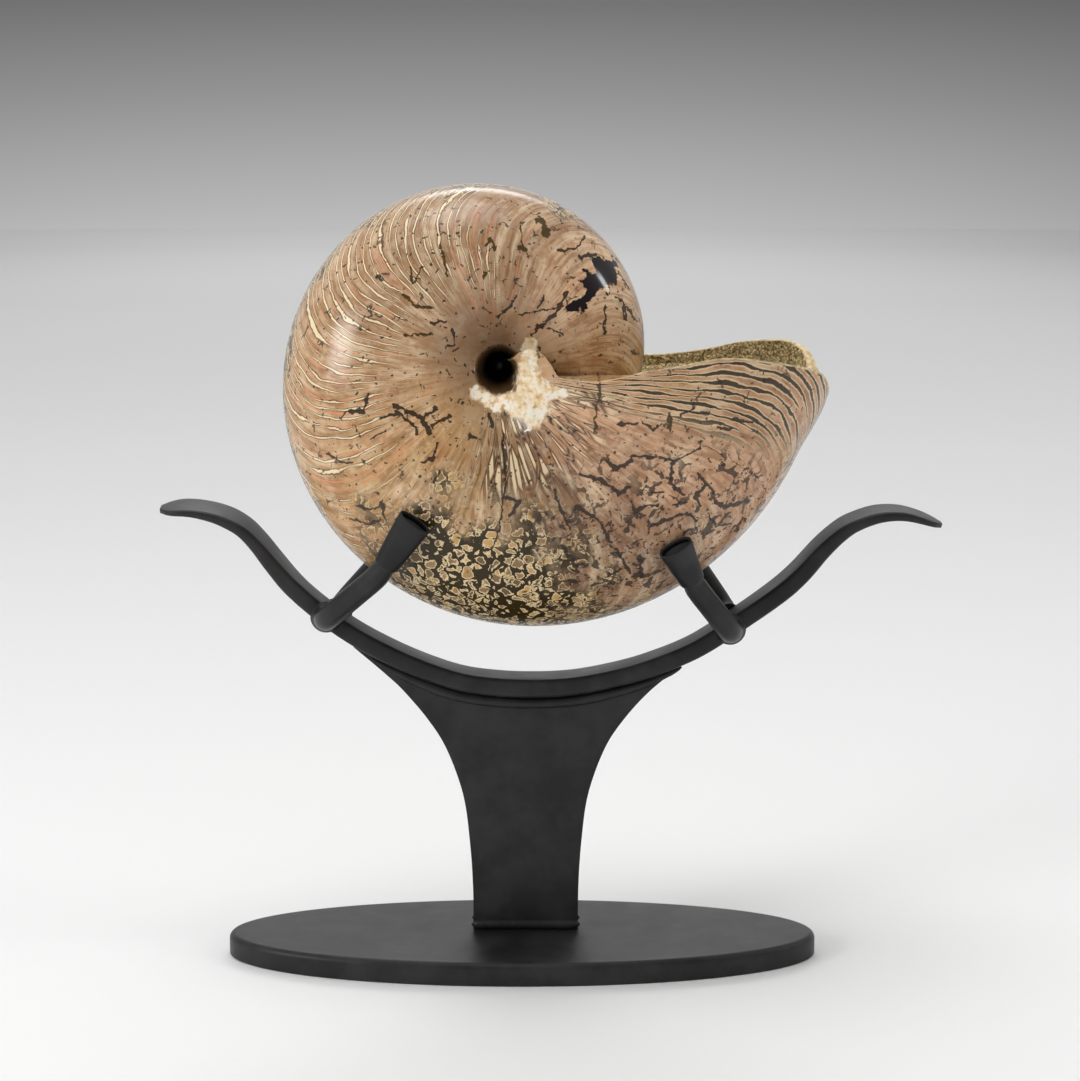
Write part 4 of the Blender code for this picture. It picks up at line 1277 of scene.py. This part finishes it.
def strewing_tree() -> Tree:
    """Build the tree that strews angular grains of mixed sizes over a surface."""
    wires, given, wanted = new_group(
        "strew grains", "GeometryNodeTree",
        (("Geometry", GEOMETRY), ("Density", FLOAT), ("Grain Size", FLOAT), ("Seed", "NodeSocketInt"),
         ("Finish", FINISH)), (("Geometry", GEOMETRY),))
    seed = given["Seed"]
    points = wires.node("GeometryNodeDistributePointsOnFaces", {
        "Mesh": given["Geometry"], "Density": given["Density"], "Seed": seed}, distribute_method="RANDOM")
    grain = wires.node("GeometryNodeMeshIcoSphere", {"Subdivisions": 1, "Radius": given["Grain Size"]})
    ranges = (((0.35, 0.35, 0.3), (1.0, 1.0, 0.8)), (None, (TURN, TURN, TURN)))
    size, turn = (wires.node("FunctionNodeRandomValue", {0: low, 1: high, "Seed": seed},
                             data_type="FLOAT_VECTOR") for low, high in ranges)
    placed = wires.node("GeometryNodeInstanceOnPoints", {
        "Points": points.outputs["Points"], "Instance": grain.outputs[0], "Rotation": turn.outputs[0],
        "Scale": size.outputs[0]})
    wires.feed(wanted["Geometry"], wires.dress(placed.outputs[0], given["Finish"]))
    return wires.tree


@dataclass
class OvalBase:
    """Oval steel plate with a rounded upper edge."""

    half_length: float = 81.9 * MM
    half_depth: float = 29.1 * MM
    thickness: float = 6.35 * MM
    centre: tuple[float, float] = (-1.0 * MM, -2.5 * MM)
    top_round: float = 1.8 * MM
    bottom_round: float = 0.6 * MM
    sides: int = 240
    round_steps: int = 6

    def build(self, coat: Material) -> Item:
        """Make the plate as rings from its underside to its top.

        Args:
            coat: material of the powder coat.

        Returns:
            The finished object.
        """
        profile = []
        for step in range(self.round_steps + 1):
            turn = math.pi / 2 * step / self.round_steps
            profile.append((self.bottom_round * (1 - math.sin(turn)),
                            self.bottom_round * (1 - math.cos(turn))))
        for step in range(self.round_steps + 1):
            turn = math.pi / 2 * step / self.round_steps
            profile.append((self.top_round * (1 - math.cos(turn)),
                            self.thickness - self.top_round * (1 - math.sin(turn))))
        for inset in (6.0 * MM, 14.0 * MM, 24.0 * MM):
            profile.append((self.top_round + inset, self.thickness))
        rings = []
        for inset, height in profile:
            ring = []
            for index in range(self.sides):
                turn = TURN * index / self.sides
                ring.append(Vector((self.centre[0] + (self.half_length - inset) * math.cos(turn),
                                    self.centre[1] + (self.half_depth - inset) * math.sin(turn), height)))
            rings.append(ring)
        item = scene_object("oval_base", loft_mesh("oval_base", rings), coat)
        smooth_shade(item.data)
        return item


@dataclass
class CradleRail:
    """Flat bar bent to a cradle, with thin upturned ends."""

    half_width: float = 6.35 * MM
    stations: tuple = (
        (-99.6, 125.2, 1.3), (-93.0, 125.6, 1.9), (-87.5, 124.9, 2.4), (-82.0, 123.2, 2.9),
        (-77.0, 120.3, 3.2), (-73.0, 116.1, 3.6), (-69.0, 110.8, 4.2), (-64.0, 104.6, 4.7),
        (-58.0, 99.0, 4.8), (-50.0, 92.8, 4.9), (-41.0, 87.4, 5.0), (-30.0, 82.2, 5.0),
        (-18.4, 78.2, 5.0), (-8.0, 76.6, 5.1), (2.6, 76.2, 5.1), (13.0, 76.8, 5.0), (23.6, 78.8, 4.8),
        (34.0, 81.7, 4.8), (46.5, 86.9, 4.8), (58.0, 94.3, 4.9), (69.0, 102.2, 4.9), (75.2, 107.8, 4.7),
        (81.0, 114.5, 4.2), (86.0, 119.2, 3.7), (90.0, 121.7, 3.3), (96.0, 123.8, 3.0),
        (102.0, 124.2, 2.5), (107.5, 123.1, 1.9), (113.6, 120.9, 1.3))
    steps: int = 9
    tip_length: float = 6.0 * MM
    roll_start: float = 62.0 * MM
    roll_left: float = math.radians(7.5)
    roll_right: float = math.radians(3.0)
    corner_steps: int = 5
    corner: float = 1.1 * MM

    def line(self) -> list[Vector]:
        """Return the middle line as (x, z, thickness), in metres."""
        return [point * MM for point in curve_through(self.stations, self.steps)]

    def height(self, x: float) -> tuple[float, float, float]:
        """Return the middle line's height, its slope and the thickness at x."""
        line = self.line()
        for before, after in zip(line, line[1:]):
            if before.x <= x <= after.x:
                slope = (after.y - before.y) / (after.x - before.x)
                return before.y + slope * (x - before.x), slope, before.z
        raise ValueError("x is off the rail")

    def underside(self, x: float) -> float:
        """Return the height of the lower face at x."""
        height, slope, thickness = self.height(x)
        return height - thickness / 2 * math.hypot(1, slope)

    def section(self, half_width: float, half_thickness: float) -> list[tuple[float, float]]:
        """Return a bar's section with rounded corners, as (across, up).

        Args:
            half_width: half the bar's width.
            half_thickness: half its thickness.

        Returns:
            The points round the section.
        """
        corner = min(self.corner, 0.8 * half_thickness)
        points = []
        for quarter in range(4):
            flip_across = 1 if quarter in (0, 3) else -1
            flip_up = 1 if quarter < 2 else -1
            for step in range(self.corner_steps + 1):
                turn = math.pi / 2 * (quarter + step / self.corner_steps)
                points.append((flip_across * (half_width - corner) + corner * math.cos(turn),
                               flip_up * (half_thickness - corner) + corner * math.sin(turn)))
        return points

    def build(self, coat: Material) -> Item:
        """Make the rail as sections along its middle line.

        Args:
            coat: material of the powder coat.

        Returns:
            The finished object.
        """
        line = self.line()
        rings = []
        for index, point in enumerate(line):
            before = line[max(index - 1, 0)]
            after = line[min(index + 1, len(line) - 1)]
            along = Vector((after.x - before.x, 0, after.y - before.y)).normalized()
            upright = Vector((-along.z, 0, along.x))
            tip = min(point.x - line[0].x, line[-1].x - point.x)
            rounding = math.sqrt(max(0.12, 1 - (1 - min(tip / self.tip_length, 1)) ** 2))
            full_roll = self.roll_left if point.x < 0 else self.roll_right
            full_reach = abs(line[0].x) if point.x < 0 else abs(line[-1].x)
            share = max(0.0, (abs(point.x) - self.roll_start) / (full_reach - self.roll_start))
            roll = full_roll * min(1.0, 2 * share)
            wide = Vector((0, math.cos(roll), 0)) + upright * math.sin(roll)
            thick = upright * math.cos(roll) - Vector((0, math.sin(roll), 0))
            centre = Vector((point.x, 0, point.y))
            rings.append([centre + wide * across + thick * up
                          for across, up in self.section(self.half_width * rounding, point.z / 2)])
        item = scene_object("cradle_rail", loft_mesh("cradle_rail", rings), coat)
        smooth_shade(item.data, 50.0)
        return item


def weld_tree() -> Tree:
    """Build the tree that lays a rippled weld bead along a line of edges."""
    wires, given, wanted = new_group(
        "weld bead", "GeometryNodeTree",
        (("Geometry", GEOMETRY), ("Radius", FLOAT), ("Pitch", FLOAT), ("Taper", FLOAT), ("Ripple", FLOAT),
         ("Seed", FLOAT), ("Finish", FINISH)), (("Geometry", GEOMETRY),))
    path = wires.node("GeometryNodeMeshToCurve", {"Mesh": given["Geometry"]})
    finer = wires.node("GeometryNodeResampleCurve", {
        "Curve": path.outputs[0], "Length": wires.over(given["Pitch"], 4.0)}, mode="LENGTH")
    along = wires.node("GeometryNodeSplineParameter").outputs["Length"]
    beats = wires.over(along, given["Pitch"])
    place = wires.combine(beats, given["Seed"], 0.0)
    beat = wires.math("ABSOLUTE", wires.math("SINE", wires.product(beats, math.pi)))
    uneven = wires.plus(wires.product(beat, 0.6), wires.noise(place, 0.8, 2.0))
    swell = wires.scaled(wires.minus(uneven, 0.8), given["Ripple"], 1.0)
    left_over = wires.minus(wires.node("GeometryNodeSplineLength").outputs["Length"], along)
    from_end = wires.over(wires.least(along, left_over), given["Taper"])
    thinning = wires.math("POWER", wires.held(from_end), 0.5)
    swell = wires.product(swell, wires.spread(thinning, 0.0, 1.0, 0.1, 1.0))
    sized = wires.node("GeometryNodeSetCurveRadius", {"Curve": finer.outputs[0], "Radius": swell})
    ring = wires.node("GeometryNodeCurvePrimitiveCircle", {"Resolution": 14, "Radius": given["Radius"]},
                      mode="RADIUS")
    bead = wires.node("GeometryNodeCurveToMesh", {
        "Curve": sized.outputs[0], "Profile Curve": ring.outputs[0], "Scale": swell, "Fill Caps": True})
    wires.feed(wanted["Geometry"], wires.dress(bead.outputs[0], given["Finish"]))
    return wires.tree


def path_object(name: str, points: Sequence[Sequence[float]]) -> Item:
    """Make an object of edges that join the points in order."""
    mesh = bpy.data.meshes.new(name)
    mesh.from_pydata([tuple(point) for point in points], [(i, i + 1) for i in range(len(points) - 1)], [])
    return scene_object(name, mesh)


@dataclass
class FlaredColumn:
    """Upright plate that flares to meet the rail, with its weld beads."""

    rail: CradleRail
    half_thickness: float = 3.17 * MM
    half_widths: tuple = (
        (6.65, 14.6), (19.0, 14.7), (32.0, 15.5), (45.5, 17.3), (58.3, 21.7), (66.8, 27.0),
        (75.3, 34.6), (83.4, 44.6))
    left_widths: tuple = (
        (6.65, 14.6), (19.0, 14.7), (32.0, 15.5), (45.5, 17.3), (58.3, 21.7), (66.8, 26.8),
        (75.3, 33.8), (80.4, 39.2), (84.4, 43.8), (87.3, 47.2))
    outline_steps: int = 8
    top_steps: int = 48
    edge_round: float = 0.55 * MM
    bead_sink: float = 0.2 * MM
    foot_bead: float = 1.4 * MM
    foot_bead_pitch: float = 2.2 * MM
    foot_bead_taper: float = 2.0 * MM
    foot_bead_overrun: float = 0.6 * MM
    rail_bead: float = 1.5 * MM
    rail_bead_pitch: float = 2.6 * MM
    rail_bead_reach: float = 43.0 * MM
    rail_bead_taper: float = 22.0 * MM

    def outline(self) -> list[tuple[float, float]]:
        """Return the plate's outline as (x, z), round from the lower right."""
        flanks = []
        for widths in (self.half_widths, self.left_widths):
            points = curve_through([(z, half, 0) for z, half in widths], self.outline_steps)
            flanks.append([(point.y * MM, point.x * MM) for point in points])
        right, left = flanks
        span = right[-1][0] + left[-1][0]
        top = []
        for index in range(self.top_steps + 1):
            x = right[-1][0] - span * index / self.top_steps
            top.append((x, self.rail.underside(x) - GAP))
        return right[:-1] + top + [(-x, z) for x, z in reversed(left)]

    def plate(self, coat: Material) -> Item:
        """Make the plate from its outline, with softened edges.

        Args:
            coat: material of the powder coat.

        Returns:
            The finished object.
        """
        builder = bmesh.new()
        front = [builder.verts.new((x, -self.half_thickness, z)) for x, z in self.outline()]
        face = builder.faces.new(front)
        pulled = bmesh.ops.extrude_face_region(builder, geom=[face])
        moved = [item for item in pulled["geom"] if isinstance(item, bmesh.types.BMVert)]
        bmesh.ops.translate(builder, verts=moved, vec=(0, 2 * self.half_thickness, 0))
        item = scene_object("flared_column", closed_mesh(builder, "flared_column"), coat)
        soften(item, self.edge_round, 3, 50.0)
        smooth_shade(item.data, 35.0)
        return item

    def beads(self, coat: Material) -> list[Item]:
        """Lay the weld beads at the foot and under the rail, front and back.

        Args:
            coat: material of the powder coat.

        Returns:
            The beads as objects.
        """
        tree = weld_tree()
        made = []
        foot_x, foot_z = self.half_widths[0][1] * MM, self.half_widths[0][0] * MM
        for side in (-1, 1):
            y = side * (self.half_thickness - self.bead_sink)
            height = foot_z + self.foot_bead + self.bead_sink
            ends = foot_x + self.foot_bead_overrun
            path = [(-ends + 2 * ends * step / 24, y, height) for step in range(25)]
            bead = path_object("foot_bead", path)
            run_tree(bead, tree, radius=self.foot_bead, pitch=self.foot_bead_pitch,
                     taper=self.foot_bead_taper, ripple=0.16, seed=3.0 * side, finish=coat)
            made.append(bead)
            path = []
            for step in range(61):
                x = self.rail_bead_reach * (step / 30 - 1)
                slope = self.rail.height(x)[1]
                from_end = (self.rail_bead_reach - abs(x)) / self.rail_bead_taper
                thinned = 0.1 + 0.9 * math.sqrt(min(1.0, from_end))
                drop = (self.rail_bead * thinned + 2 * GAP) * math.hypot(1, slope)
                path.append((x, y, self.rail.underside(x) - drop))
            bead = path_object("rail_bead", path)
            run_tree(bead, tree, radius=self.rail_bead, pitch=self.rail_bead_pitch,
                     taper=self.rail_bead_taper, ripple=0.12, seed=7.0 * side, finish=coat)
            made.append(bead)
        return made

    def build(self, coat: Material) -> Item:
        """Make the plate and join its beads to it."""
        plate = self.plate(coat)
        return join_pieces(plate, self.beads(coat))


def join_pieces(target: Item, others: Sequence[Item]) -> Item:
    """Join other objects' meshes to a target and remove them.

    Args:
        target: the object that takes them.
        others: the objects that are joined to it.

    Returns:
        The target.
    """
    builder = bmesh.new()
    builder.from_mesh(target.data)
    for item in others:
        builder.from_mesh(item.data)
        for face in builder.faces:
            face.material_index = min(face.material_index, len(target.data.materials) - 1)
        bpy.data.objects.remove(item, do_unlink=True)
    builder.to_mesh(target.data)
    builder.free()
    smooth_shade(target.data, 40.0)
    return target


@dataclass
class CradleArm:
    """Bent rod from the rail to the shell, with the soft sleeve on its flat tip."""

    name: str
    side: int
    foot: tuple[float, float]
    contact: tuple[float, float]
    cant: float
    reach: float
    shell: FossilShell
    rail_half_width: float = 6.35 * MM
    rod: float = 3.175 * MM
    neck: float = 2.6 * MM
    weld: float = 4.3 * MM
    weld_length: float = 2.2 * MM
    elbow_offset: float = 13.5 * MM
    elbow_radius: float = 5.6 * MM
    sweep_lead: float = 3.0 * MM
    sweep_radius: float = 5.0 * MM
    tip_half_width: float = 3.7 * MM
    tip_half_thickness: float = 1.1 * MM
    tip_setback: float = 1.2 * MM
    sleeve_wall: float = 0.6 * MM
    rim_round: float = 0.15 * MM
    sleeve_below: float = 11.0 * MM
    sleeve_square: float = 2.3
    standoff: float = 2.55 * MM
    sides: int = 40

    def flank(self, x: float, z: float) -> float:
        """Return how far the shell's flank stands from the middle plane.

        Args:
            x: place along the rail.
            z: height.

        Returns:
            The distance in metres.
        """
        shell = self.shell
        dx, dz = x - shell.coil_x, z - shell.coil_z
        radius = shell.start_radius * math.exp(shell.growth_per_radian * (math.atan2(dz, dx) % TURN))
        flat = shell.flat_share * radius
        share = min(1.0, max(0.0, (math.hypot(dx, dz) - flat) / (radius - flat)))
        return shell.breadth_share * radius * (1 - share ** shell.flank_power) ** (1 / shell.flank_power)

    def corners(self) -> tuple[Vector, Vector, Vector, Vector, Vector]:
        """Return foot, elbow, sleeve's lower end, tip and the shell's normal there."""
        x, z = self.contact[0] * MM, self.contact[1] * MM
        step = 0.05 * MM
        slope_x = (self.flank(x + step, z) - self.flank(x - step, z)) / (2 * step)
        slope_z = (self.flank(x, z + step) - self.flank(x, z - step)) / (2 * step)
        normal = Vector((-slope_x, self.side, -slope_z)).normalized()
        touch = Vector((x, self.side * self.flank(x, z), z)) + normal * self.standoff
        foot_x, foot_z = self.foot[0] * MM, self.foot[1] * MM
        root = Vector((foot_x, self.side * (self.rail_half_width + GAP), foot_z))
        elbow = Vector((foot_x, self.side * self.elbow_offset, foot_z))
        along = touch - elbow
        along -= normal * along.dot(normal)
        along = Matrix.Rotation(math.radians(self.cant), 3, normal) @ along.normalized()
        return root, elbow, touch - along * self.sleeve_below, touch + along * self.reach * MM, normal

    @staticmethod
    def rounded(before: Vector, corner: Vector, after: Vector, radius: float, steps: int) -> list[Vector]:
        """Return points that round a corner of the path.

        Args:
            before: a point before the corner.
            corner: the corner.
            after: a point after it.
            radius: how far from the corner the rounding starts.
            steps: number of stretches.

        Returns:
            The points in order.
        """
        start = corner + (before - corner).normalized() * radius
        end = corner + (after - corner).normalized() * radius
        shares = [step / steps for step in range(steps + 1)]
        return [start * (1 - t) ** 2 + corner * 2 * t * (1 - t) + end * t * t for t in shares]

    def tip_size(self, share: float) -> tuple[float, float]:
        """Return half width and half thickness along the flattened end."""
        share = min(1.0, max(0.0, share))
        return (self.neck + (self.tip_half_width - self.neck) * share,
                self.neck + (self.tip_half_thickness - self.neck) * float(ease(1.6 * share)))

    def rings(self, points: Sequence[Vector], sizes: Sequence[tuple[float, float]], normal: Vector,
              square: float = 2.0) -> list[list[Vector]]:
        """Return oval rings along a path, flat towards the shell.

        Args:
            points: the path.
            sizes: half width and half thickness at each point.
            normal: direction that the flat side faces.
            square: 2 for an oval, more for squarer corners.

        Returns:
            A ring of points for each point of the path.
        """
        made = []
        for index, (point, (half_width, half_thickness)) in enumerate(zip(points, sizes)):
            before, after = points[max(index - 1, 0)], points[min(index + 1, len(points) - 1)]
            along = (after - before).normalized()
            thick = (normal - along * normal.dot(along)).normalized()
            wide = along.cross(thick)
            ring = []
            for step in range(self.sides):
                turn = TURN * (step + 0.5) / self.sides
                c, s = math.cos(turn), math.sin(turn)
                across = math.copysign(abs(c) ** (2 / square), c)
                up = math.copysign(abs(s) ** (2 / square), s)
                ring.append(point + wide * half_width * across + thick * half_thickness * up)
            made.append(ring)
        return made

    def build_rod(self, coat: Material) -> Item:
        """Make the bent rod with its weld and its flat tip.

        Args:
            coat: material of the powder coat.

        Returns:
            The finished object.
        """
        root, elbow, low, tip, normal = self.corners()
        outward = (elbow - root).normalized()
        along = (tip - low).normalized()
        points, sizes = [], []
        for step in range(7):
            share = step / 6
            points.append(root + outward * self.weld_length * share)
            size = self.rod + (self.weld - self.rod) * (1 - share) ** 1.6
            sizes.append((size, size))
        bend = self.rounded(root, elbow, low, self.elbow_radius, 12)
        sweep = self.rounded(elbow.lerp(low, 0.45), low - along * self.sweep_lead, tip,
                             self.sweep_radius, 8)
        between = [bend[-1].lerp(sweep[0], share) for share in (0.35, 0.7)]
        body = bend + between + sweep
        points += body
        neck_from = len(body) - 5
        for index in range(len(body)):
            share = float(ease((index - neck_from) / 4))
            size = self.rod + (self.neck - self.rod) * share
            sizes.append((size, size))
        start, end = points[-1], tip - along * self.tip_setback
        for step in range(1, 11):
            points.append(start.lerp(end, step / 10))
            sizes.append(self.tip_size(step / 10))
        mesh = loft_mesh(self.name, self.rings(points, sizes, normal))
        item = scene_object(f"{self.name}_rod", mesh, coat)
        smooth_shade(item.data, 50.0)
        return item

    def build_sleeve(self, rubber: Material) -> Item:
        """Make the soft tube over the tip, open at its upper end.

        Args:
            rubber: material of the sleeve.

        Returns:
            The finished object.
        """
        low, tip, normal = self.corners()[2:]
        along = (tip - low).normalized()
        rod_end = low + along * 2 * MM
        end = tip - along * self.tip_setback
        points, bores = [], []
        count = 16
        for step in range(count + 1):
            point = rod_end.lerp(tip, (step + 0.4) / (count + 0.4))
            wide, thick = self.tip_size((point - rod_end).dot(along) / (end - rod_end).length)
            points.append(point)
            bores.append((wide + GAP, thick + GAP))
        skins = [(wide + self.sleeve_wall, thick + self.sleeve_wall) for wide, thick in bores]
        outer = self.rings(points, skins, normal, self.sleeve_square)
        inner = self.rings(points, bores, normal, self.sleeve_square)
        mesh = loft_mesh(f"{self.name}_sleeve", outer + inner[::-1], looped=True)
        item = scene_object(f"{self.name}_sleeve", mesh, rubber)
        soften(item, self.rim_round, 2, 60.0)
        smooth_shade(item.data, 50.0)
        return item


@dataclass
class Studio:
    """Pale floor, soft lights, backdrop and the camera at the photo's angle."""

    lens: float = 36.0 * 2400.0 / 1081.0
    camera_place: tuple[float, float, float] = (0.004, -0.649, 0.2216)
    camera_dip: float = 9.2
    floor_reach: float = 6.5
    aim_height: float = 0.13
    box_glow: float = 2.4
    box_edge: float = 0.42
    # Darkening towards the sides: painted shade on the floor, with the same fall on the backdrop.
    dim_offset: float = 0.05
    dim_rate: float = -2.8
    dim_limit: float = 0.27
    # Floor colour by distance: painted shade that darkens the floor far away, where light falls off.
    floor_falloff: tuple = (
        (0.0, 0.87), (0.05, 0.86), (0.11, 0.875), (0.18, 0.865), (0.23, 0.82), (0.32, 0.74),
        (0.46, 0.65), (0.62, 0.61), (0.78, 0.60), (1.0, 0.67))

    def camera(self) -> None:
        """Set the camera where the photo was taken from."""
        data = bpy.data.cameras.new("camera")
        data.lens = self.lens
        data.sensor_width = 36.0
        item = scene_object("camera", data)
        item.location = self.camera_place
        item.rotation_euler = (math.radians(90 - self.camera_dip), 0, 0)
        bpy.context.scene.camera = item

    def floor(self) -> None:
        """Lay the pale floor, darker far away."""
        rings = []
        for reach in (0.02, 0.4, 1.5, 3.5, self.floor_reach):
            rings.append([Vector((reach * math.cos(TURN * i / 64), reach * math.sin(TURN * i / 64), 0.0))
                          for i in range(64)])
        builder = bmesh.new()
        made = [[builder.verts.new(point) for point in ring] for ring in rings]
        for ring, following in zip(made, made[1:]):
            for index in range(len(ring)):
                after = (index + 1) % len(ring)
                builder.faces.new((ring[index], following[index], following[after], ring[after]))
        builder.faces.new(made[0])
        mesh = bpy.data.meshes.new("floor")
        bmesh.ops.recalc_face_normals(builder, faces=builder.faces)
        if sum(face.normal.z for face in builder.faces) < 0:
            bmesh.ops.reverse_faces(builder, faces=builder.faces)
        builder.to_mesh(mesh)
        builder.free()
        item = scene_object("floor", mesh)
        paper, wires, shader = start_material("pale_paper")
        source = wires.node("ShaderNodeTexCoord").outputs["Object"]
        place = wires.vector("MULTIPLY", source, (1.0, 1.0, 0.0))
        away = wires.vector("LENGTH", place)
        share = wires.over(away, self.floor_reach)
        # Painted shade by distance from the middle.
        colour = wires.ramp(share, [(place, (shade,) * 3) for place, shade in self.floor_falloff])
        # Painted shade: the floor darkens towards its sides.
        lean = wires.plus(wires.over(wires.separate(place)["X"], away), self.dim_offset)
        falling = wires.product(lean, lean, wires.step(away, 1.5, 5.5), self.dim_rate)
        dim = wires.most(falling, -self.dim_limit)
        colour = wires.blend(1.0, colour, wires.combine(*(wires.plus(dim, 1.0),) * 3), "MULTIPLY")
        wires.feed_all(shader, {"Base Color": colour, "Roughness": 0.9, "Specular IOR Level": 0.1})
        mesh.materials.append(paper)

    def light(self, name: str, place: Sequence[float], size: tuple[float, float], power: float) -> None:
        """Hang one soft box that faces the shell and is brightest in its middle.

        Args:
            name: the light's name.
            place: where it hangs.
            size: its width and height.
            power: its power in watts.
        """
        data = bpy.data.lights.new(name, "AREA")
        data.shape = "RECTANGLE"
        data.size, data.size_y = size
        data.energy = power
        data.use_nodes = True
        wires = Wiring(data.node_tree)
        across = wires.node("ShaderNodeNewGeometry").outputs["Parametric"]
        glow = self.box_glow
        for share in list(wires.separate(across))[:2]:
            from_edge = wires.least(share, wires.minus(1.0, share))
            glow = wires.product(wires.step(from_edge, 0.0, self.box_edge), glow)
        wires.feed(data.node_tree.nodes["Emission"].inputs["Strength"], glow)
        item = scene_object(name, data)
        item.location = place
        aim = Vector((0.0, 0.0 if place[1] < 1 else place[1], self.aim_height)) - Vector(place)
        item.rotation_euler = aim.to_track_quat("-Z", "Y").to_euler()

    def backdrop(self) -> None:
        """Set the grey backdrop that the camera sees and the soft light from all round."""
        world = bpy.data.worlds.new("studio")
        bpy.context.scene.world = world
        world.use_nodes = True
        wires = Wiring(world.node_tree)
        world.node_tree.nodes.clear()
        view = wires.node("ShaderNodeTexCoord").outputs["Generated"]
        along, back, up = list(wires.separate(view))[:3]
        seen = wires.ramp(wires.spread(up, -0.04, 0.06, 0.0, 1.0), (
            (0.0, (0.545,) * 3), (0.2, (0.462,) * 3), (0.4, (0.386,) * 3), (0.616, (0.302,) * 3),
            (0.992, (0.18,) * 3)))
        offset = wires.plus(along, self.dim_offset)
        falling = wires.scaled(wires.product(offset, offset), self.dim_rate, 1.0)
        dim = wires.most(falling, 1 - self.dim_limit)
        seen = wires.vector("SCALE", seen, scale=dim)
        camera_view = wires.node("ShaderNodeBackground", {"Color": seen})
        room_colour = wires.ramp(wires.spread(back, -1.0, 1.0, 0.0, 1.0), (
            (0.0, (0.16,) * 3), (0.4, (0.3,) * 3), (1.0, (0.5,) * 3)))
        room = wires.node("ShaderNodeBackground", {"Color": room_colour, "Strength": 1.45})
        is_camera = wires.node("ShaderNodeLightPath").outputs["Is Camera Ray"]
        chosen = wires.node("ShaderNodeMixShader", {
            0: is_camera, 1: room.outputs[0], 2: camera_view.outputs[0]})
        wires.node("ShaderNodeOutputWorld", {0: chosen.outputs[0]})

    def build(self) -> None:
        """Set up everything that isn't the object."""
        self.camera()
        self.floor()
        self.light("left_box", (-0.80, -0.55, 0.42), (0.62, 0.52), 4.6)
        self.light("right_box", (0.95, -0.14, 0.62), (0.22, 0.26), 1.6)
        self.light("top_box", (-0.1, -0.05, 1.1), (1.0, 0.8), 5.0)
        self.light("far_panel", (0.0, 4.0, 3.6), (4.6, 2.8), 95.0)
        self.backdrop()
        bpy.context.scene.view_settings.view_transform = "Standard"


def main() -> None:
    """Build every piece in order and report it."""
    logging.basicConfig(level=logging.INFO, format="%(name)s: %(message)s")
    grain = grain_group()
    coat = BlackFinish("powder_coat", srgb(33, 33, 34), srgb(48, 48, 49), 0.42, 0.08, 0.22,
                       0.05 * MM, 0.26).material(grain)
    rubber = BlackFinish("soft_sleeve", srgb(16, 16, 17), srgb(25, 25, 26), 0.44, 0.08, 0.5,
                         0.04 * MM, 0.34).material(grain)
    stone = MouthStoneFinish().material(grain)

    Studio().build()
    ship(OvalBase().build(coat), Slot.COAT.value, "base")
    rail = CradleRail()
    ship(rail.build(coat), Slot.COAT.value, "rail")
    ship(FlaredColumn(rail).build(coat), Slot.COAT.value, "column")

    shell = FossilShell()
    arms = (
        CradleArm("front_left", -1, (-54.3, 96.4), (-31.0, 122.5), 8.0, 7.5, shell),
        CradleArm("front_right", -1, (55.9, 93.0), (40.0, 118.0), -5.0, 6.0, shell),
        CradleArm("rear_left", 1, (-52.5, 95.0), (-30.2, 122.5), -8.0, 7.5, shell),
        CradleArm("rear_right", 1, (56.6, 93.4), (41.6, 118.6), 5.0, 6.0, shell),
    )
    for arm in arms:
        ship(arm.build_rod(coat), Slot.COAT.value, f"arm_{arm.name}")
        ship(arm.build_sleeve(rubber), Slot.SLEEVE.value, f"sleeve_{arm.name}")

    skin = PolishedFossilFinish(shell.coil_x, shell.coil_z).material()
    coiled = shell.build(skin, stone)
    ship(coiled, Slot.FOSSIL.value, "nautilus_fossil")
    ship(shell.build_grains(coiled, stone), Slot.FOSSIL.value, "nautilus_fossil")


if __name__ == "__main__":
    main()
